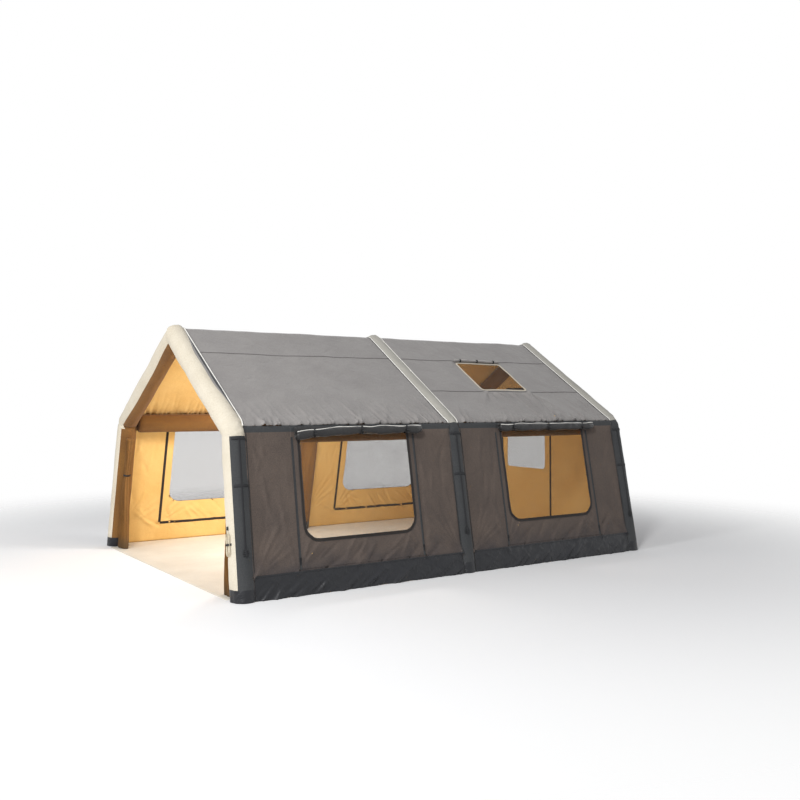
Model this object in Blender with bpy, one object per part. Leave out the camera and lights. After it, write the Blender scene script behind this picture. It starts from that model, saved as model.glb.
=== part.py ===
"""Inflatable cabin tent: a two-bay ridge tent held up by three air-filled arches.

Each arch is an air tube in a fabric sleeve, bent at the eaves and the ridge. Straight air
beams join the arches along both eaves and the ridge. Cloth panels fill the roof and the
sides. Each bay has a side door that zips down both edges and lifts about the eave, with a
netted window and a rolled window cover. The rear gable has a hinged door. The front
gable is open, with its two cloth halves tied back to the legs.

Units are metres, +Z is up. The origin is on the ground at the middle of the plan. X runs
across the tent and Y along it, with the open front at -Y. The near side is +X.
"""
import math

import bmesh
import bpy
from mathutils import Matrix, Vector

# Overall size of the tent, over the sleeves
TENT_HALF_LENGTH = 2.40
FOOT_HALF_WIDTH = 1.80
WALL_LEAN = 0.28
EAVE_HEIGHT = 1.44
ROOF_RISE = 0.945
EAVE_HALF_WIDTH = FOOT_HALF_WIDTH - WALL_LEAN
RIDGE_HEIGHT = EAVE_HEIGHT + ROOF_RISE
WALL_RUN = math.hypot(WALL_LEAN, EAVE_HEIGHT)
ROOF_RUN = math.hypot(EAVE_HALF_WIDTH, ROOF_RISE)

# Clearances
SEAT_GAP = 0.0003
DOOR_GAP = 0.0006

# Air frame
ARCH_RADIUS = 0.105
SLEEVE_THICKNESS = 0.002
SLEEVE_HEM_HEIGHT = 0.002
EAVE_BEND_RADIUS = 0.13
EAVE_BEND_STEPS = 3
TUBE_SIDES = 16
BEAM_RADIUS = 0.10
BEAM_END_LENGTH = 0.03
BEAM_END_SHARE = 0.82

# Cloth
CLOTH_THICKNESS = 0.004
ROOF_SAG = 0.014
ROOF_EDGE_BAND = 0.14
ROOF_SAG_STEPS = 6

# Skylight in the near roof panel of the rear bay, measured up the slope from the eave
SKYLIGHT_LOW = 0.640
SKYLIGHT_HIGH = 1.200
SKYLIGHT_HALF_WIDTH = 0.310
SKYLIGHT_OFFSET = -0.025
SKYLIGHT_CORNER_RADIUS = 0.030
SKYLIGHT_ROLL_RADIUS = 0.018

# Side doors, measured up the wall from the ground, with their top kept below the eave
DOOR_SILL = 0.215
DOOR_EAVE_GAP = 0.027
DOOR_TOP = WALL_RUN - DOOR_EAVE_GAP
DOOR_HALF_WIDTH = 0.655
REAR_BAY_DOOR_OFFSET = 0.022
ZIP_TAPE_WIDTH = 0.022
ZIP_TAPE_HEIGHT = 0.002

# Side windows, measured up the wall from the ground
WINDOW_SILL = 0.460
WINDOW_MARGIN = 0.087
WINDOW_HALF_WIDTH = DOOR_HALF_WIDTH - WINDOW_MARGIN
WINDOW_CORNER_RADIUS = 0.125
WINDOW_TOP_CORNER_RADIUS = 0.040
CORNER_STEPS = 5
BINDING_WIDTH = 0.022
BINDING_HEIGHT = 0.004
NET_THICKNESS = 0.002

# Rolled covers
ROLL_RADIUS = 0.044
ROLL_OVERHANG = 0.010
ROLL_DROP = 0.050
ROLL_SHIFT = 0.045
ROLL_END_DROOP = 0.040
ROLL_SIDES = 12
ROLL_LOBE_SHARE = 0.07
ROLL_PINCH_SHARE = 0.80
ROLL_TIE_SHARES = (-0.74, 0.0, 0.74)
TIE_WIDTH = 0.018
TIE_THICKNESS = 0.003

# The binding along a side window's top lies behind the middle of the roll
WINDOW_TOP = DOOR_TOP - ROLL_DROP - BINDING_WIDTH / 2

# Zip sliders
SLIDER_WIDTH = 0.016
SLIDER_LENGTH = 0.026
SLIDER_HEIGHT = 0.006
PULL_WIDTH = 0.009
PULL_LENGTH = 0.046
PULL_THICKNESS = 0.002
PULL_DROP = 0.004
SLIDER_SILL_RISE = 0.085
SLIDER_BEVEL = 0.0015

# Skirt along the foot of each wall
SKIRT_HEIGHT = 0.205
SKIRT_THICKNESS = 0.003
SKIRT_FOLD_DEPTH = 0.007
SKIRT_FOLD_LENGTH = 0.30
SKIRT_FOLD_STEPS = 4

# Rear gable and its door, measured up from the ground
REAR_DOOR_SILL = 0.080
REAR_DOOR_RIDGE_DROP = 0.605
REAR_DOOR_TOP = RIDGE_HEIGHT - REAR_DOOR_RIDGE_DROP
REAR_DOOR_HALF_WIDTH = 0.450
REAR_DOOR_CORNER_RADIUS = 0.120
REAR_WINDOW_SILL = 0.790
REAR_WINDOW_TOP_DROP = 0.220
REAR_WINDOW_TOP = REAR_DOOR_TOP - REAR_WINDOW_TOP_DROP
REAR_WINDOW_HALF_WIDTH = 0.350
REAR_ROLL_RADIUS = 0.026

# Front door halves, tied back along the legs
CURTAIN_EAVE_GAP = 0.197
CURTAIN_TOP = WALL_RUN - CURTAIN_EAVE_GAP
CURTAIN_WAIST_SHARE = 0.677
CURTAIN_WAIST = CURTAIN_WAIST_SHARE * CURTAIN_TOP
CURTAIN_TOP_HALF_WIDTH = 0.046
CURTAIN_WAIST_HALF_WIDTH = 0.034
CURTAIN_FOOT_HALF_WIDTH = 0.098
CURTAIN_HALF_THICKNESS = 0.040
CURTAIN_FOLDS = 5
CURTAIN_FOLD_SHARE = 0.20
CURTAIN_SIDES = 30

# Groundsheet
SHEET_THICKNESS = 0.003
SHEET_EDGE_GAP = 0.0015

# Inflation valve on the rear arch
VALVE_HEIGHT = 0.360
VALVE_FLANGE_RADIUS = 0.030
VALVE_FLANGE_THICKNESS = 0.004
VALVE_BODY_RADIUS = 0.020
VALVE_BODY_HEIGHT = 0.012
CAP_RADIUS = 0.024
CAP_THICKNESS = 0.005
CAP_PIVOT_RISE = 0.002
VALVE_SIDES = 24

# Webbing strap and tabs sewn on the outer face of every leg, measured up the wall
STRAP_WIDTH = 0.018
STRAP_FOOT = 0.400
STRAP_THICKNESS = 0.003
TAB_HALF_ANGLE = math.radians(36)
TAB_HEIGHT = 0.024
TAB_EAVE_GAP = 0.134
TAB_SPACING = 0.398
HIGH_TAB = WALL_RUN - TAB_EAVE_GAP
LOW_TAB = HIGH_TAB - TAB_SPACING
BUNDLE_HALF_WIDTH = 0.034
BUNDLE_HEIGHT = 0.056
BUNDLE_THICKNESS = 0.012
BUNDLE_CORNER_RADIUS = 0.012

# Guy line wound in a hank on the front of the near leg
GUY_DIAMETER = 0.005
GUY_LOOPS = 4
GUY_LOOP_POINTS = 24
GUY_INNER_HALF_WIDTH = 0.017
GUY_RUN_HALF_LENGTH = 0.046
GUY_PITCH = 0.0090
GUY_WAIST_SHARE = 0.32
GUY_WAIST_SHARPNESS = 3.0
GUY_START_ANGLE = math.radians(60)
GUY_GAP_SAMPLES = 5
GUY_HEIGHT = 0.480
GUY_LEAD = 0.030
GUY_ANCHOR_WIDTH = 0.022
GUY_ANCHOR_HEIGHT = 0.026
GUY_ANCHOR_THICKNESS = 0.007
GUY_TIE_HEIGHT = 0.018
GUY_TIE_THICKNESS = 0.002
GUY_TIE_GAP = 0.0010

# Derived slopes and lines of the section
WALL_TILT = math.atan2(WALL_LEAN, EAVE_HEIGHT)
ROOF_SLOPE = math.atan2(ROOF_RISE, EAVE_HALF_WIDTH)
EAVE_BEND = math.pi / 2 - WALL_TILT - ROOF_SLOPE
RIDGE_BEND = 2 * ROOF_SLOPE

# The cloth meets each sleeve where the sleeve's side is at 45 degrees
SEAM_ANGLE = math.pi / 4
SEAM_HALF_WIDTH = ARCH_RADIUS * math.sin(SEAM_ANGLE)
CLOTH_INNER_DEPTH = ARCH_RADIUS * (1 - math.cos(SEAM_ANGLE))
CLOTH_OUTER_DEPTH = CLOTH_INNER_DEPTH - CLOTH_THICKNESS

# Places along the tent
ARCH_CENTRES = (ARCH_RADIUS - TENT_HALF_LENGTH, 0.0, TENT_HALF_LENGTH - ARCH_RADIUS)
ARCH_NAMES = ("front", "mid", "rear")
BAYS = (("front", 0, 0.0), ("rear", 1, REAR_BAY_DOOR_OFFSET))
SMOOTH_ANGLE = math.radians(40)
SIDES = (("near", 1), ("far", -1))

COLOURS = {
    "tube": ((0.80, 0.79, 0.74), 0.45),
    "sleeve": ((0.78, 0.74, 0.66), 0.85),
    "beam": ((0.56, 0.42, 0.24), 0.85),
    "roof": ((0.33, 0.31, 0.30), 0.80),
    "wall": ((0.24, 0.18, 0.14), 0.85),
    "skirt": ((0.05, 0.055, 0.075), 0.80),
    "net": ((0.10, 0.09, 0.08), 0.90),
    "roll": ((0.12, 0.12, 0.13), 0.80),
    "zip": ((0.03, 0.03, 0.03), 0.45),
    "curtain": ((0.60, 0.42, 0.20), 0.85),
    "sheet": ((0.62, 0.60, 0.56), 0.70),
    "valve": ((0.04, 0.04, 0.045), 0.40),
    "webbing": ((0.03, 0.03, 0.035), 0.80),
    "cord": ((0.72, 0.66, 0.55), 0.80),
}


def clear_scene():
    """Remove the objects that a new scene starts with."""
    for obj in list(bpy.data.objects):
        bpy.data.objects.remove(obj, do_unlink=True)


def material(key):
    """Return the finish of that name, made on first use."""
    found = bpy.data.materials.get(key)
    if found:
        return found
    colour, roughness = COLOURS[key]
    made = bpy.data.materials.new(key)
    made.use_nodes = True
    shader = made.node_tree.nodes["Principled BSDF"]
    shader.inputs["Base Color"].default_value = (*colour, 1)
    shader.inputs["Roughness"].default_value = roughness
    shader.inputs["Metallic"].default_value = 0
    return made


def frame_empty(name, matrix, parent=None):
    """Add an empty that carries pieces, at that matrix under its parent."""
    empty = bpy.data.objects.new(name, None)
    bpy.context.collection.objects.link(empty)
    empty.parent = parent
    empty.matrix_local = matrix
    return empty


def add_piece(name, bm, finish, parent=None, smooth=True):
    """Turn a bmesh into a named piece under its parent, with its faces pointing out."""
    bmesh.ops.recalc_face_normals(bm, faces=bm.faces)
    mesh = bpy.data.meshes.new(name)
    bm.to_mesh(mesh)
    bm.free()
    if smooth:
        mesh.shade_smooth()
        mesh.set_sharp_from_angle(angle=SMOOTH_ANGLE)
    obj = bpy.data.objects.new(name, mesh)
    bpy.context.collection.objects.link(obj)
    obj.data.materials.append(material(finish))
    obj.parent = parent
    return obj


def as_tool(obj):
    """Mark a piece as a shape that only cuts or adds to another."""
    obj.hide_render = True
    obj.display_type = "WIRE"
    return obj


def combine(obj, tool, operation):
    """Cut a tool out of a piece, or add it to the piece."""
    modifier = obj.modifiers.new(f"{operation.lower()} {tool.name}", "BOOLEAN")
    modifier.operation = operation
    modifier.object = as_tool(tool)


def box_mesh(low, high):
    """Return a bmesh box between two corners."""
    bm = bmesh.new()
    bmesh.ops.create_cube(bm, size=1)
    centre = (Vector(low) + Vector(high)) / 2
    size = Vector(high) - Vector(low)
    bmesh.ops.scale(bm, vec=size, verts=bm.verts)
    bmesh.ops.translate(bm, vec=centre, verts=bm.verts)
    return bm


def skin_rings(bm, rings, closed_ends=True):
    """Join rings of equal count with quads, and cap the first and last ring."""
    count = len(rings[0])
    for first, second in zip(rings, rings[1:]):
        for i in range(count):
            j = (i + 1) % count
            bm.faces.new((first[i], first[j], second[j], second[i]))
    if closed_ends:
        bm.faces.new(list(reversed(rings[0])))
        bm.faces.new(rings[-1])


def cloth_grid(bm, us, vs, point, is_open=None):
    """Make a cloth of two faces and its edges on a grid.

    point(u, v, layer) gives the outer face for layer 0 and the inner face for layer 1.
    is_open(i, j) tells whether a cell is left out.
    """
    corners = {}
    for layer in (0, 1):
        for i, u in enumerate(us):
            for j, v in enumerate(vs):
                corners[layer, i, j] = bm.verts.new(point(u, v, layer))

    def filled(i, j):
        inside = 0 <= i < len(us) - 1 and 0 <= j < len(vs) - 1
        return inside and not (is_open and is_open(i, j))

    for i in range(len(us) - 1):
        for j in range(len(vs) - 1):
            if not filled(i, j):
                continue
            ring = ((i, j), (i + 1, j), (i + 1, j + 1), (i, j + 1))
            bm.faces.new([corners[0, a, b] for a, b in ring])
            bm.faces.new([corners[1, a, b] for a, b in reversed(ring)])
            neighbours = ((i, j - 1), (i + 1, j), (i, j + 1), (i - 1, j))
            for k, cell in enumerate(neighbours):
                if not filled(*cell):
                    a = ring[k]
                    b = ring[(k + 1) % 4]
                    edge = (corners[0, *a], corners[1, *a], corners[1, *b], corners[0, *b])
                    bm.faces.new(edge)
    loose = [vert for vert in bm.verts if not vert.link_faces]
    bmesh.ops.delete(bm, geom=loose, context="VERTS")


def rounded_outline(half_width, low, high, low_radius, high_radius):
    """Return the points of an upright rectangle with rounded corners, anticlockwise."""
    corners = (
        (half_width - low_radius, low + low_radius, low_radius, -math.pi / 2),
        (half_width - high_radius, high - high_radius, high_radius, 0.0),
        (high_radius - half_width, high - high_radius, high_radius, math.pi / 2),
        (low_radius - half_width, low + low_radius, low_radius, math.pi),
    )
    points = []
    for x, y, radius, start in corners:
        for step in range(CORNER_STEPS + 1):
            angle = start + step * math.pi / 2 / CORNER_STEPS
            points.append((x + radius * math.cos(angle), y + radius * math.sin(angle)))
    return points


def prism(outline, low, high):
    """Return a bmesh prism of an outline between two heights."""
    bm = bmesh.new()
    rings = [[bm.verts.new((x, y, height)) for x, y in outline] for height in (low, high)]
    skin_rings(bm, rings)
    return bm


def seam_shift(depth):
    """Distance that the eave corner moves back along each face at that depth."""
    return depth * math.tan(EAVE_BEND / 2)


def wall_limits(depth):
    """Lowest and highest place up the wall at that depth inside its outer line."""
    return depth * math.tan(WALL_TILT), WALL_RUN - seam_shift(depth) - SEAT_GAP


def roof_limits(depth):
    """Lowest and highest place up the roof at that depth inside its outer line."""
    return seam_shift(depth) + SEAT_GAP, ROOF_RUN - depth * math.tan(RIDGE_BEND / 2) - SEAT_GAP


def clamp(value, limits):
    """Hold a value between two limits."""
    return min(max(value, limits[0]), limits[1])


def bay_span(bay):
    """Return the ends along Y of a bay's cloth, between two sleeves."""
    start = ARCH_CENTRES[bay] + SEAM_HALF_WIDTH + SEAT_GAP
    end = ARCH_CENTRES[bay + 1] - SEAM_HALF_WIDTH - SEAT_GAP
    return start, end


def bay_middle(bay):
    """Return the middle of a bay along Y."""
    return sum(bay_span(bay)) / 2


def axes_matrix(u_axis, v_axis, w_axis, origin):
    """Return a matrix from its three axes and its origin."""
    rows = [(u_axis[i], v_axis[i], w_axis[i], origin[i]) for i in range(3)]
    return Matrix((*rows, (0, 0, 0, 1)))


def wall_frame(side, y):
    """Frame on a wall's outer line at the ground: along, up the wall, and outward."""
    sin, cos = math.sin(WALL_TILT), math.cos(WALL_TILT)
    origin = (side * FOOT_HALF_WIDTH, y, 0)
    return axes_matrix((0, side, 0), (-side * sin, 0, cos), (side * cos, 0, sin), origin)


def roof_frame(side, y):
    """Frame on a roof's outer line at the eave: along, up the slope, and outward."""
    sin, cos = math.sin(ROOF_SLOPE), math.cos(ROOF_SLOPE)
    origin = (side * EAVE_HALF_WIDTH, y, EAVE_HEIGHT)
    return axes_matrix((0, side, 0), (-side * cos, 0, sin), (side * sin, 0, cos), origin)


def bend(centre, start, angle, radius, steps):
    """Return the mitred corners of one bend: place, outward direction and mitre scale."""
    half = angle / steps / 2
    corners = []
    for step in range(steps):
        turn = start + half + step * angle / steps
        reach = radius / math.cos(half)
        normal = (math.cos(turn), math.sin(turn))
        place = (centre[0] + normal[0] * reach, centre[1] + normal[1] * reach)
        corners.append((place, normal, 1 / math.cos(half)))
    return corners


def arch_corners():
    """Return the corners of an arch's centre line above its feet, from near to far.

    The tube bends at the eaves and is welded in a mitre at the ridge.
    """
    eave_depth = ARCH_RADIUS + EAVE_BEND_RADIUS
    up = WALL_RUN - seam_shift(eave_depth)
    sin, cos = math.sin(WALL_TILT), math.cos(WALL_TILT)
    eave_x = FOOT_HALF_WIDTH - up * sin - eave_depth * cos
    eave_z = up * cos - eave_depth * sin
    mitre = 1 / math.cos(ROOF_SLOPE)
    near = bend((eave_x, eave_z), WALL_TILT, EAVE_BEND, EAVE_BEND_RADIUS, EAVE_BEND_STEPS)
    top = [((0.0, RIDGE_HEIGHT - ARCH_RADIUS * mitre), (0.0, 1.0), mitre)]
    far_start = math.pi - WALL_TILT - EAVE_BEND
    far = bend((-eave_x, eave_z), far_start, EAVE_BEND, EAVE_BEND_RADIUS, EAVE_BEND_STEPS)
    return near + top + far


def foot_point(side, out, height):
    """Place on a leg at that distance out from its centre line, at that height."""
    depth = ARCH_RADIUS - out
    up = (height + depth * math.sin(WALL_TILT)) / math.cos(WALL_TILT)
    x = FOOT_HALF_WIDTH - up * math.sin(WALL_TILT) - depth * math.cos(WALL_TILT)
    return side * x, height


def arch_line(out, foot_height):
    """Return the line at that distance out from an arch's centre line, foot to foot."""
    points = [foot_point(1, out, foot_height)]
    for place, normal, scale in arch_corners():
        points.append((place[0] + normal[0] * out * scale, place[1] + normal[1] * out * scale))
    points.append(foot_point(-1, out, foot_height))
    return points


def arch_rings(bm, radius, y, foot_height):
    """Add the rings of a tube of that radius along an arch."""
    lines = []
    for side in range(TUBE_SIDES):
        angle = 2 * math.pi * side / TUBE_SIDES
        across = y + radius * math.sin(angle)
        line = arch_line(radius * math.cos(angle), foot_height)
        lines.append([bm.verts.new((x, across, z)) for x, z in line])
    return [[line[i] for line in lines] for i in range(len(lines[0]))]


def add_arch(name, y):
    """Add an arch's air tube and the fabric sleeve round it."""
    tube = bmesh.new()
    skin_rings(tube, arch_rings(tube, ARCH_RADIUS - SLEEVE_THICKNESS - SEAT_GAP, y, 0.0))
    add_piece(f"{name}_arch_tube", tube, "tube")
    sleeve = bmesh.new()
    outer = arch_rings(sleeve, ARCH_RADIUS, y, SLEEVE_HEM_HEIGHT)
    inner = arch_rings(sleeve, ARCH_RADIUS - SLEEVE_THICKNESS, y, SLEEVE_HEM_HEIGHT)
    skin_rings(sleeve, outer, closed_ends=False)
    skin_rings(sleeve, inner, closed_ends=False)
    for end in (0, -1):
        for i in range(TUBE_SIDES):
            j = (i + 1) % TUBE_SIDES
            sleeve.faces.new((outer[end][i], outer[end][j], inner[end][j], inner[end][i]))
    piece = add_piece(f"{name}_arch_sleeve", sleeve, "sleeve")
    for side_name, side in SIDES:
        for tool in add_strap(f"{name}_{side_name}", side, y):
            combine(piece, tool, "UNION")
    return piece


def chord_reach(reach, angle):
    """Distance from a tube's middle to its flat sides at an angle, for that corner radius."""
    half = math.pi / TUBE_SIDES
    within = angle % (2 * half)
    return reach * math.cos(half) / math.cos(within - half)


def add_strap(name, side, y):
    """Add the shapes of a leg's webbing: the strap, its two cross tabs and its tied end."""
    frame = frame_empty(f"{name}_strap_frame", wall_frame(side, y))
    step = 2 * math.pi / TUBE_SIDES
    edge = math.asin(STRAP_WIDTH / 2 / ARCH_RADIUS)
    us = (-TAB_HALF_ANGLE, -step, -edge, 0.0, edge, step, TAB_HALF_ANGLE)
    vs = (STRAP_FOOT, LOW_TAB, LOW_TAB + TAB_HEIGHT, HIGH_TAB, HIGH_TAB + TAB_HEIGHT)

    def point(u, v, layer):
        corner = ARCH_RADIUS + (STRAP_THICKNESS, -SLEEVE_THICKNESS / 2)[layer]
        reach = chord_reach(corner, u)
        return reach * math.sin(u), v, reach * math.cos(u) - ARCH_RADIUS

    bm = bmesh.new()
    cloth_grid(bm, us, vs, point, lambda i, j: j in (0, 2) and i not in (2, 3))
    strap = add_piece(f"{name}_strap_shape", bm, "webbing", frame, smooth=False)
    outline = rounded_outline(
        BUNDLE_HALF_WIDTH,
        STRAP_FOOT - BUNDLE_HEIGHT / 2,
        STRAP_FOOT + BUNDLE_HEIGHT / 2,
        BUNDLE_CORNER_RADIUS,
        BUNDLE_CORNER_RADIUS,
    )
    bundle = add_piece(
        f"{name}_bundle_shape",
        prism(outline, -SLEEVE_THICKNESS / 2, BUNDLE_THICKNESS),
        "webbing",
        frame,
        smooth=False,
    )
    return strap, bundle


def add_beam(name, x, z, first_angle, bay):
    """Add a straight air beam between two arches, with drawn-in ends."""
    start = ARCH_CENTRES[bay] + ARCH_RADIUS + SEAT_GAP
    end = ARCH_CENTRES[bay + 1] - ARCH_RADIUS - SEAT_GAP
    stations = (
        (start, BEAM_END_SHARE),
        (start + BEAM_END_LENGTH, 1.0),
        (end - BEAM_END_LENGTH, 1.0),
        (end, BEAM_END_SHARE),
    )
    bm = bmesh.new()
    rings = []
    for y, share in stations:
        ring = []
        for side in range(TUBE_SIDES):
            angle = first_angle + 2 * math.pi * side / TUBE_SIDES
            reach = BEAM_RADIUS * share
            place = (x + reach * math.cos(angle), y, z + reach * math.sin(angle))
            ring.append(bm.verts.new(place))
        rings.append(ring)
    skin_rings(bm, rings)
    add_piece(name, bm, "beam")


def add_beams():
    """Add the eave beams of both sides and the ridge beams."""
    depth = CLOTH_INNER_DEPTH + SEAT_GAP + BEAM_RADIUS
    up = WALL_RUN - seam_shift(depth)
    sin, cos = math.sin(WALL_TILT), math.cos(WALL_TILT)
    eave_x = FOOT_HALF_WIDTH - up * sin - depth * cos
    eave_z = up * cos - depth * sin
    ridge_z = RIDGE_HEIGHT - depth / math.cos(ROOF_SLOPE)
    roof_normal = math.pi / 2 - ROOF_SLOPE
    for bay_name, bay, _ in BAYS:
        for side_name, side in SIDES:
            angle = roof_normal if side > 0 else math.pi - roof_normal
            add_beam(f"{side_name}_{bay_name}_eave_beam", side * eave_x, eave_z, angle, bay)
        add_beam(f"{bay_name}_ridge_beam", 0.0, ridge_z, roof_normal, bay)


def add_roof_panel(side_name, side, bay_name, bay, has_skylight):
    """Add one roof panel, slightly sagging, or taut and open at the skylight."""
    start, end = bay_span(bay)
    half = (end - start) / 2
    frame = frame_empty(f"{side_name}_{bay_name}_roof_frame", roof_frame(side, bay_middle(bay)))
    if has_skylight:
        middle = side * SKYLIGHT_OFFSET
        us = (-half, middle - SKYLIGHT_HALF_WIDTH, middle + SKYLIGHT_HALF_WIDTH, half)
        vs = (0.0, SKYLIGHT_LOW, SKYLIGHT_HIGH, ROOF_RUN)
        sag = 0.0
    else:
        us = [half * (2 * i / ROOF_SAG_STEPS - 1) for i in range(ROOF_SAG_STEPS + 1)]
        low, high = ROOF_EDGE_BAND, ROOF_RUN - ROOF_EDGE_BAND
        inner = [low + (high - low) * i / ROOF_SAG_STEPS for i in range(ROOF_SAG_STEPS + 1)]
        vs = (0.0, *inner, ROOF_RUN)
        sag = ROOF_SAG

    def point(u, v, layer):
        depth = (CLOTH_OUTER_DEPTH, CLOTH_INNER_DEPTH)[layer]
        share = (v - ROOF_EDGE_BAND) / (ROOF_RUN - 2 * ROOF_EDGE_BAND)
        dip = 0.0
        if sag and 0 < share < 1:
            dip = sag * math.sin(math.pi * share) ** 2 * math.cos(math.pi * u / half / 2) ** 2
        return u, clamp(v, roof_limits(depth)), -depth - dip

    bm = bmesh.new()
    is_open = (lambda i, j: i == 1 and j == 1) if has_skylight else None
    cloth_grid(bm, us, vs, point, is_open)
    add_piece(f"{side_name}_{bay_name}_roof_panel", bm, "roof", frame)
    if has_skylight:
        add_skylight(frame, middle)


def add_screen(name, parent, outline, rim, place, finish="net"):
    """Add a net with its raised binding, both as one sewn piece.

    outline is the edge of the opening and rim the outer edge of the binding. place(x, y, z)
    gives the point in the parent's frame, with z outward from the cloth.
    """
    bm = bmesh.new()
    rings = [
        [bm.verts.new(place(x, y, 0.0)) for x, y in rim],
        [bm.verts.new(place(x, y, BINDING_HEIGHT)) for x, y in rim],
        [bm.verts.new(place(x, y, BINDING_HEIGHT)) for x, y in outline],
        [bm.verts.new(place(x, y, NET_THICKNESS)) for x, y in outline],
    ]
    skin_rings(bm, rings)
    return add_piece(name, bm, finish, parent, smooth=False)


def add_roll(name, parent, centre, half_length, radius, finish="roll", droop=0.0):
    """Add a rolled cover along the parent's X, pinched by the ties that hold it up.

    centre is the roll's axis in the parent's frame. The roll is lobed like wound cloth. It
    hangs lower by droop at its right end, or at its left end where droop is negative.
    """
    ends = [-1.0]
    for share in ROLL_TIE_SHARES:
        ends.append(share)
    ends.append(1.0)
    stations = [(-half_length, ROLL_PINCH_SHARE)]
    for first, second in zip(ends, ends[1:]):
        middle = (first + second) / 2 * half_length
        stations.append((middle, 1.0))
        if second < 1.0:
            tie = second * half_length
            collar = ROLL_PINCH_SHARE + TIE_THICKNESS / radius
            stations.append((tie - TIE_WIDTH / 2, ROLL_PINCH_SHARE))
            stations.append((tie - TIE_WIDTH / 2, collar))
            stations.append((tie + TIE_WIDTH / 2, collar))
            stations.append((tie + TIE_WIDTH / 2, ROLL_PINCH_SHARE))
    stations.append((half_length, ROLL_PINCH_SHARE))
    bm = bmesh.new()
    rings = []
    for x, share in stations:
        ring = []
        toward = max(0.0, math.copysign(x / half_length, x * droop))
        height = centre[1] - abs(droop) * toward**2
        for i in range(ROLL_SIDES):
            angle = 2 * math.pi * i / ROLL_SIDES
            lobe = 1 - ROLL_LOBE_SHARE * (1 - math.cos(3 * angle + 3 * math.pi / 2)) / 2
            reach = radius * share * lobe
            place = (
                centre[0] + x,
                height + reach * math.cos(angle),
                centre[2] + reach * math.sin(angle),
            )
            ring.append(bm.verts.new(place))
        rings.append(ring)
    skin_rings(bm, rings)
    return add_piece(name, bm, finish, parent)


def add_skylight(frame, middle):
    """Add the skylight's net and its cover, rolled up along the top edge."""
    radius = SKYLIGHT_CORNER_RADIUS
    outer_radius = radius + BINDING_WIDTH
    outline = rounded_outline(
        SKYLIGHT_HALF_WIDTH, SKYLIGHT_LOW, SKYLIGHT_HIGH, radius, radius
    )
    rim = rounded_outline(
        SKYLIGHT_HALF_WIDTH + BINDING_WIDTH,
        SKYLIGHT_LOW - BINDING_WIDTH,
        SKYLIGHT_HIGH + BINDING_WIDTH,
        outer_radius,
        outer_radius,
    )
    base = SEAT_GAP - CLOTH_OUTER_DEPTH
    add_screen("skylight_net", frame, outline, rim, lambda x, y, z: (x + middle, y, z + base))
    up = SKYLIGHT_HIGH + BINDING_WIDTH + SEAT_GAP + SKYLIGHT_ROLL_RADIUS
    centre = (middle, up, base + SKYLIGHT_ROLL_RADIUS)
    half_length = SKYLIGHT_HALF_WIDTH + BINDING_WIDTH
    add_roll("skylight_cover", frame, centre, half_length, SKYLIGHT_ROLL_RADIUS, "roof")


def add_side_wall(side_name, side, bay_name, bay, offset):
    """Add one side wall with its doorway, and the skirt along its foot."""
    start, end = bay_span(bay)
    half = (end - start) / 2
    name = f"{side_name}_{bay_name}"
    frame = frame_empty(f"{name}_wall_frame", wall_frame(side, bay_middle(bay)))
    middle = side * offset
    us = (-half, middle - DOOR_HALF_WIDTH, middle + DOOR_HALF_WIDTH, half)
    vs = (0.0, DOOR_SILL, DOOR_TOP, WALL_RUN)

    def wall_place(u, v, layer):
        depth = (CLOTH_OUTER_DEPTH, CLOTH_INNER_DEPTH)[layer]
        return u, clamp(v, wall_limits(depth)), -depth

    bm = bmesh.new()
    cloth_grid(bm, us, vs, wall_place, lambda i, j: i == 1 and j == 1)
    add_piece(f"{name}_side_wall", bm, "wall", frame)
    add_skirt(f"{name}_skirt", frame, half)
    droop = -side * ROLL_END_DROOP if bay == 0 else 0.0
    add_side_door(name, frame, middle, side * ROLL_SHIFT, droop)


def add_skirt(name, frame, half):
    """Add the heavier cloth along a wall's foot, with its folds opening downward."""
    folds = max(1, round(2 * half / SKIRT_FOLD_LENGTH))
    count = folds * SKIRT_FOLD_STEPS
    us = [half * (2 * i / count - 1) for i in range(count + 1)]
    vs = (0.0, SKIRT_HEIGHT / 2, SKIRT_HEIGHT)

    def point(u, v, layer):
        base = SEAT_GAP - CLOTH_OUTER_DEPTH
        swell = SKIRT_FOLD_DEPTH * (1 - v / SKIRT_HEIGHT)
        wave = (1 - math.cos(math.pi * folds * (u + half) / half)) / 2
        out = base + swell * wave + (SKIRT_THICKNESS, 0.0)[layer]
        return u, max(v, -out * math.tan(WALL_TILT)), out

    bm = bmesh.new()
    cloth_grid(bm, us, vs, point)
    add_piece(name, bm, "skirt", frame)


def add_slider(name, parent, x, y, z):
    """Add a zip slider with its hanging pull, with its back at z in the parent's frame."""
    empty = frame_empty(f"{name}_track", Matrix.Translation((x, y, z)), parent)
    body = add_piece(
        name,
        box_mesh(
            (-SLIDER_WIDTH / 2, -SLIDER_LENGTH / 2, 0.0),
            (SLIDER_WIDTH / 2, SLIDER_LENGTH / 2, SLIDER_HEIGHT),
        ),
        "zip",
        empty,
        smooth=False,
    )
    top = SLIDER_HEIGHT - PULL_DROP
    pull = add_piece(
        f"{name}_pull_shape",
        box_mesh(
            (-PULL_WIDTH / 2, -PULL_LENGTH, top),
            (PULL_WIDTH / 2, 0.0, top + PULL_THICKNESS),
        ),
        "zip",
        empty,
        smooth=False,
    )
    combine(body, pull, "UNION")
    bevel = body.modifiers.new("soft edges", "BEVEL")
    bevel.width = SLIDER_BEVEL
    bevel.segments = 1
    bevel.limit_method = "ANGLE"
    return body


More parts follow.
